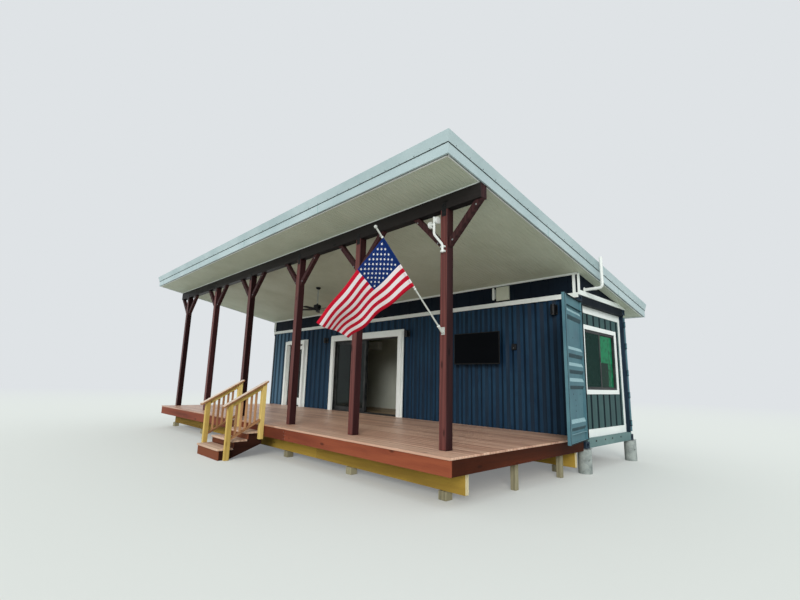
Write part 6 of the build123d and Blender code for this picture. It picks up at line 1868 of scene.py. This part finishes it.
@dataclass
class PostFittings:
    """Pipe arm, flag pole and the flag on the near post; vent pipe at the gable."""

    pole_foot: Spot = (-0.47, -3.53, 2.3)
    pole_angle: float = 43.0
    pole_length: float = 1.79
    pole_radius: float = 0.012
    bracket_face: float = 0.0285
    hoist: float = 0.8
    fly: float = 1.46
    top_margin: float = 0.175
    free_high: Spot = (-1.281, -5.126, 2.314)
    free_low: Spot = (-1.538, -4.385, 2.18)
    fold: float = 0.055
    folds: float = 2.2
    hem_fold: float = 0.045
    hem_folds: float = 1.2
    pucker: float = 0.0007
    star: Pair = (0.021, 0.0082)
    vent: Spot = (0.35, 0.3, 3.475)
    vent_radius: float = 0.03
    vent_top: float = 4.092
    arm_top: Spot = (-0.64, -3.522, 4.08)
    arm_bands: Pair = (3.5, 3.57)

    def build(self, nodes: Nodes) -> None:
        """Dress the pipes and pole, and hang the flag.

        Args:
            nodes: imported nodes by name.
        """
        repaint(nodes, "vent_pipe", Palette.white)
        repaint(nodes, "post_arm", Palette.white)
        repaint(nodes, "flag_pole", Palette.pole)
        self.flag()
        self.pipe_fittings()
        self.arm_heads()
        self.pole_rings()

    def pipe_fittings(self) -> None:
        """Flange at the gable, couplings beside the elbow and the rim of the vent pipe."""
        draft = Draft("vent_couplings", Palette.white, 42)
        x, y, z = self.vent
        r = self.vent_radius
        flange = [(r * 1.7, 0.0), (r * 1.7, 0.006), (r * 1.15, 0.012), (r * 1.12, 0.03)]
        draft.turned(flange, (-0.003, y, z), (1, 0, 0))
        ring = [(r * 1.01, 0.0), (r * 1.14, 0.002), (r * 1.14, 0.038), (r * 1.01, 0.04)]
        draft.turned(ring, (x - 0.155, y, z), (1, 0, 0))
        draft.turned(ring, (x, y, z + 0.085), (0, 0, 1))
        draft.turned([(r * 1.01, 0.0), (r * 1.12, 0.002), (r * 1.12, 0.018), (r * 0.9, 0.02)],
                     (x, y, self.vent_top - 0.02), (0, 0, 1))
        draft.finish_piece(smooth=True)

    def arm_heads(self) -> None:
        """Domed faces of the two round heads, and the bands that hold the pipe to its clamps."""
        draft = Draft("arm_heads", Palette.white, 43)
        x, y, z = self.arm_top
        for side, drop in ((1, 0.07), (-1, 0.12)):
            face = x + side * (0.055 + 0.03)
            radius = 0.05
            draft.turned([(radius, 0.0), (radius * 0.93, 0.005), (radius * 0.6, 0.008), (radius * 0.55, 0.0065),
                          (radius * 0.2, 0.008)], (face - side * 0.001, y, z - drop), (side, 0, 0), 36)
        for height in self.arm_bands:
            draft.turned([(0.021, -0.014), (0.0255, -0.012), (0.0255, 0.012), (0.021, 0.014)],
                         (self.pole_foot[0], y, height), (0, 0, 1), 28)
            for dx in (-0.028, 0.028):
                draft.disc((self.pole_foot[0] + dx, y + 0.006, height), SOUTH, 0.006, 0.006, 6, Palette.zinc)
        draft.finish_piece(smooth=True)

    def pole_rings(self) -> None:
        """Rings that carry the flag's heading, and the screws of the pole's bracket."""
        draft = Draft("pole_rings", Palette.white, 44)
        along = self.along
        foot = Vector(self.pole_foot)
        r = self.pole_radius
        top = self.pole_length - self.top_margin
        for reach in (top + 0.012, top - self.hoist - 0.012, top - self.hoist - 0.05):
            draft.turned([(r * 1.02, -0.009), (r * 1.45, -0.006), (r * 1.45, 0.006), (r * 1.02, 0.009)],
                         foot + along * reach, along, 24)
        for dx in (-0.02, 0.02):
            for dz in (-0.042, 0.042):
                draft.disc((foot.x + dx, foot.y + self.bracket_face, foot.z + dz), SOUTH, 0.005, 0.004, 8,
                           Palette.zinc)
        collar = [(r * 1.72, -0.006), (r * 1.95, -0.003), (r * 1.95, 0.004), (r * 1.72, 0.007)]
        draft.turned(collar, foot + along * 0.09, along, 24)
        draft.finish_piece(smooth=True)

    @property
    def along(self) -> Vector:
        """Unit direction of the pole."""
        angle = math.radians(self.pole_angle)
        return Vector((0.0, -math.cos(angle), math.sin(angle)))

    def cloth_point(self, fly: float, hoist: float, lift: float = 0.0) -> Vector:
        """Place on the flag.

        Args:
            fly: share of the way from the pole to the free edge.
            hoist: share of the way down the pole side.
            lift: distance off the cloth's middle.

        Returns:
            The place in the cabin's frame.
        """
        along = self.along
        high = Vector(self.pole_foot) + along * (self.pole_length - self.top_margin)
        low = high - along * self.hoist
        free_high, free_low = Vector(self.free_high), Vector(self.free_low)
        normal = (free_high - high).cross(low - high).normalized()
        start = high.lerp(low, hoist)
        end = free_high.lerp(free_low, hoist)
        # The pole side hangs taut, and the cloth's slack gathers towards the free corner below.
        slack = fly * (2 - fly)
        swing = self.fold * (0.5 + 0.5 * hoist) * slack * math.sin(2 * math.pi * (self.folds * fly - 0.35 * hoist))
        swing += self.hem_fold * fly * fly * math.sin(2 * math.pi * self.hem_folds * hoist)
        gap = (end - start).normalized() * self.pole_radius * (1 - fly)
        return start + gap + (end - start) * fly + normal * (swing + lift)

    def flag(self) -> None:
        """Waved cloth with fifty sewn stars on both faces."""
        columns, rows = 96, 26
        cloth = [(column / columns, row / rows, 0.0) for row in range(rows + 1) for column in range(columns + 1)]
        faces = []
        for row in range(rows):
            for column in range(columns):
                a = row * (columns + 1) + column
                faces.append((a, a + 1, a + columns + 2, a + columns + 1))
        sheet = make_piece("flag_cloth_sheet", [self.cloth_point(fly, hoist) for fly, hoist, _ in cloth], faces,
                           [Palette.cloth], "cloth", cloth, BUILDING)
        sheet.data.shade_smooth()
        solid = sheet.modifiers.new("thickness", "SOLIDIFY")
        solid.thickness = 0.0014
        solid.offset = 0.0
        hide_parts("flag")
        self.stars()
        self.sleeve()
        LOG.info("flag of %d faces", len(faces))

    def sleeve(self) -> Piece:
        """Sleeve sewn round the pole along the cloth's pole side, in the cloth's own stripes."""
        sides, rows = 20, 52
        along = self.along
        top = Vector(self.pole_foot) + along * (self.pole_length - self.top_margin)
        across = Vector((1.0, 0.0, 0.0))
        out = along.cross(across)
        # Down the inner wall and back up the outer one.
        rings = [(self.pole_radius + 0.0012, row) for row in range(rows + 1)]
        rings += [(self.pole_radius + 0.0028, row) for row in range(rows, -1, -1)]
        points, cloth, faces = [], [], []
        for ring, (wall, row) in enumerate(rings):
            here, after = ring * sides, (ring + 1) % len(rings) * sides
            reach = wall + self.pucker * math.sin(row * 1.7)
            for k in range(sides):
                angle, n = 2 * math.pi * k / sides, (k + 1) % sides
                points.append(top - along * (self.hoist * row / rows)
                              + (across * math.cos(angle) + out * math.sin(angle)) * reach)
                cloth.append((0.0, min(0.999, row / rows), 0.0))
                faces.append((here + k, after + k, after + n, here + n))
        piece = make_piece("flag_sleeve", points, faces, [Palette.cloth], "cloth", cloth, BUILDING)
        piece.data.shade_smooth()
        return piece

    def stars(self) -> Piece:
        """Nine rows of sewn stars on each face of the blue field."""
        draft = Draft("flag_stars", RolledPaint("star_thread", "flag_cloth", "#f3f1ef", "#e6e4e2", "#d8d6d4",
                                                Sheen.FLAT, patch_mm=50.0), 41)
        field_wide = Palette.cloth.field_fly
        field_high = Palette.cloth.field_stripes / Palette.cloth.stripes
        corners = [(self.star[corner % 2], math.pi * corner / 5) for corner in range(10)]
        for side in (-1, 1):
            for row in range(9):
                hoist = field_high * (row + 1) / 10
                for k in range(6 - row % 2):
                    fly = field_wide * (k * 2 + 1 + row % 2) / 12
                    draft.take(loft([[self.cloth_point(fly + radius * math.sin(angle) / self.fly,
                                                       hoist - radius * math.cos(angle) / self.hoist, side * lift)
                                      for radius, angle in corners] for lift in (0.0004, 0.0016)]), tone=0.5)
        return draft.finish_piece()


@dataclass
class CeilingFan:
    """Five-bladed ceiling fan on a long rod."""

    place: Pair = (-6.543, -1.739)
    hub_low: float = 3.4535
    motor_low: float = 3.4935
    motor_high: float = 3.6035
    canopy_low: float = 4.0335
    canopy_high: float = 4.0895

    def build(self, nodes: Nodes) -> None:
        """Make canopy, rod and motor, and dress the rotor.

        Args:
            nodes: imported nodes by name.
        """
        repaint(nodes, "fan_rotor", Palette.black, 1.5)
        draft = Draft("fan_motor", Palette.black, 71)
        x, y = self.place
        low, high = self.motor_low, self.motor_high
        motor = [(0.03, low), (0.082, low + 0.001), (0.098, low + 0.012), (0.105, low + 0.034), (0.105, low + 0.05),
                 (0.102, low + 0.052), (0.102, low + 0.058), (0.105, low + 0.06), (0.105, high - 0.034),
                 (0.096, high - 0.012), (0.07, high - 0.001), (0.03, high)]
        draft.turned(motor, (x, y, 0.0), sides=48)
        draft.turned([(0.028, high - 0.002), (0.028, high + 0.018), (0.018, high + 0.03), (0.014, high + 0.034)],
                     (x, y, 0.0), sides=32)
        draft.turned([(0.013, high + 0.03), (0.013, self.canopy_low + 0.004)], (x, y, 0.0), sides=24,
                     finish=Palette.rod)
        draft.turned([(0.018, self.canopy_low), (0.034, self.canopy_low + 0.004), (0.058, self.canopy_low + 0.02),
                      (0.068, self.canopy_low + 0.04), (0.07, self.canopy_high)], (x, y, 0.0), sides=40)
        draft.turned([(0.011, self.hub_low - 0.002), (0.011, low + 0.01)], (x, y, 0.0), sides=20, finish=Palette.zinc)
        draft.turned([(0.012, self.hub_low - 0.0145), (0.026, self.hub_low - 0.012), (0.03, self.hub_low - 0.004),
                      (0.03, self.hub_low - 0.0007)], (x, y, 0.0), sides=32)
        draft.finish_piece(smooth=True, replaces=["fan_mount"])


@dataclass
class Studio:
    """Camera, floor, lamps and world."""

    eye: Spot = (3.640, -8.285, 1.557)
    yaw: float = 46.398
    pitch: float = 10.678
    roll: float = 1.483
    lens: float = 19.60
    floor_size: float = 900.0
    floor_colour: str = "#c9cbc4"
    sky_colour: str = "#dfe3e6"
    light_colour: str = "#eaf0f4"
    floor_lift: float = 0.22
    fade_near: float = 12.0
    fade_far: float = 55.0
    horizon_strength: float = 0.62
    zenith_strength: float = 1.2
    sun_energy: float = 1.9
    sun_colour: Spot = (1.0, 0.985, 0.96)
    sun_angle: float = 26.0
    sun_height: float = 20.0
    sun_turn: float = 38.0

    def build(self) -> None:
        """Set camera, floor and light."""
        self.camera()
        self.floor()
        self.light()

    def camera(self) -> None:
        """Camera at the viewing angle that the corners of the container give."""
        data = bpy.data.cameras.new("camera")
        data.sensor_fit = "HORIZONTAL"
        data.sensor_width = 36.0
        data.lens = self.lens
        data.clip_end = 500.0
        yaw, pitch, roll = [math.radians(a) for a in (self.yaw, self.pitch, self.roll)]
        forward = Vector((-math.sin(yaw) * math.cos(pitch), math.cos(yaw) * math.cos(pitch), math.sin(pitch)))
        right = Vector((math.cos(yaw), math.sin(yaw), 0.0))
        up = right.cross(forward)
        side = right * math.cos(roll) + up * math.sin(roll)
        top = -right * math.sin(roll) + up * math.cos(roll)
        camera = bpy.data.objects.new("camera", data)
        matrix = Matrix((side, top, -forward)).transposed().to_4x4()
        matrix.translation = SITE.at(*self.eye)
        camera.matrix_world = matrix
        bpy.context.scene.collection.objects.link(camera)
        bpy.context.scene.camera = camera

    def floor(self) -> None:
        """Plain pale floor that runs into the backdrop; it keeps the cabin's shadow."""
        half = self.floor_size / 2
        data = bpy.data.meshes.new("studio_floor")
        data.from_pydata([(-half, -half, 0), (half, -half, 0), (half, half, 0), (-half, half, 0)], [], [(0, 1, 2, 3)])
        paper = bpy.data.materials.new("studio_paper")
        paper.use_nodes = True
        tree = paper.node_tree
        tree.nodes.clear()
        matt = add_node(tree, "BsdfDiffuse", {"Color": linear(self.floor_colour)})
        lift = add_node(tree, "Emission", {"Color": linear(self.sky_colour), "Strength": self.floor_lift})
        both = add_node(tree, "AddShader", links={0: matt.outputs["BSDF"], 1: lift.outputs["Emission"]})
        mix = add_node(tree, "MixShader", links={0: paper_rays(tree), 1: matt.outputs["BSDF"],
                                                 2: both.outputs["Shader"]})
        # Far from the cabin the floor takes the backdrop's own tone, so no horizon shows.
        place = add_node(tree, "TexCoord")
        reach = add_node(tree, "VectorMath", {"operation": "LENGTH"}, {0: place.outputs["Object"]})
        far = add_node(tree, "MapRange",
                       {"interpolation_type": "SMOOTHSTEP", "From Min": self.fade_near, "From Max": self.fade_far},
                       {"Value": reach.outputs["Value"]})
        paper_far = add_node(tree, "Math", {"operation": "MULTIPLY"}, {0: far.outputs["Result"], 1: paper_rays(tree)})
        plain = add_node(tree, "Emission", {"Color": linear(self.sky_colour), "Strength": 1.0})
        whole = add_node(tree, "MixShader", links={0: paper_far.outputs["Value"], 1: mix.outputs["Shader"],
                                                   2: plain.outputs["Emission"]})
        add_node(tree, "OutputMaterial", links={"Surface": whole.outputs["Shader"]})
        data.materials.append(paper)
        floor = bpy.data.objects.new("studio_floor", data)
        bpy.context.scene.collection.objects.link(floor)

    def light(self) -> None:
        """Soft light from a sky that is brightest overhead, and one broad low sun at the porch corner."""
        world = bpy.data.worlds.new("studio_world")
        world.use_nodes = True
        tree = world.node_tree
        tree.nodes.clear()
        place = add_node(tree, "TexCoord")
        axes = add_node(tree, "SeparateXYZ", links={"Vector": place.outputs["Generated"]})
        rise = add_node(tree, "MapRange",
                        {"From Min": 0.0, "From Max": 1.0, "To Min": self.horizon_strength,
                         "To Max": self.zenith_strength}, {"Value": axes.outputs["Z"]})
        sky = add_node(tree, "Background", {"Color": linear(self.light_colour)}, {"Strength": rise.outputs["Result"]})
        paper = add_node(tree, "Background", {"Color": linear(self.sky_colour), "Strength": 1.0})
        mix = add_node(tree, "MixShader", links={0: paper_rays(tree),
                                                 1: sky.outputs["Background"],
                                                 2: paper.outputs["Background"]})
        add_node(tree, "OutputWorld", links={"Surface": mix.outputs["Shader"]})
        bpy.context.scene.world = world
        data = bpy.data.lights.new("sun", "SUN")
        data.energy = self.sun_energy
        data.angle = math.radians(self.sun_angle)
        data.color = self.sun_colour
        sun = bpy.data.objects.new("sun", data)
        sun.rotation_euler = (math.radians(90.0 - self.sun_height), 0.0, math.radians(self.sun_turn))
        bpy.context.scene.collection.objects.link(sun)
        bpy.context.scene.view_settings.view_transform = "Standard"


def main() -> None:
    """Build the cabin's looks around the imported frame."""
    logging.basicConfig(level=logging.INFO, format="%(name)s: %(message)s")
    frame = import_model()
    nodes = frame["nodes"]
    SITE.survey()
    Studio().build()
    Shell().build(nodes)
    DoorEnd().build(nodes)
    PorchWall().build(nodes)
    RoofWork().build(nodes)
    PorchFrame().build()
    Deck().build()
    Stair().build()
    PostFittings().build(nodes)
    CeilingFan().build(nodes)


if __name__ == "__main__":
    main()
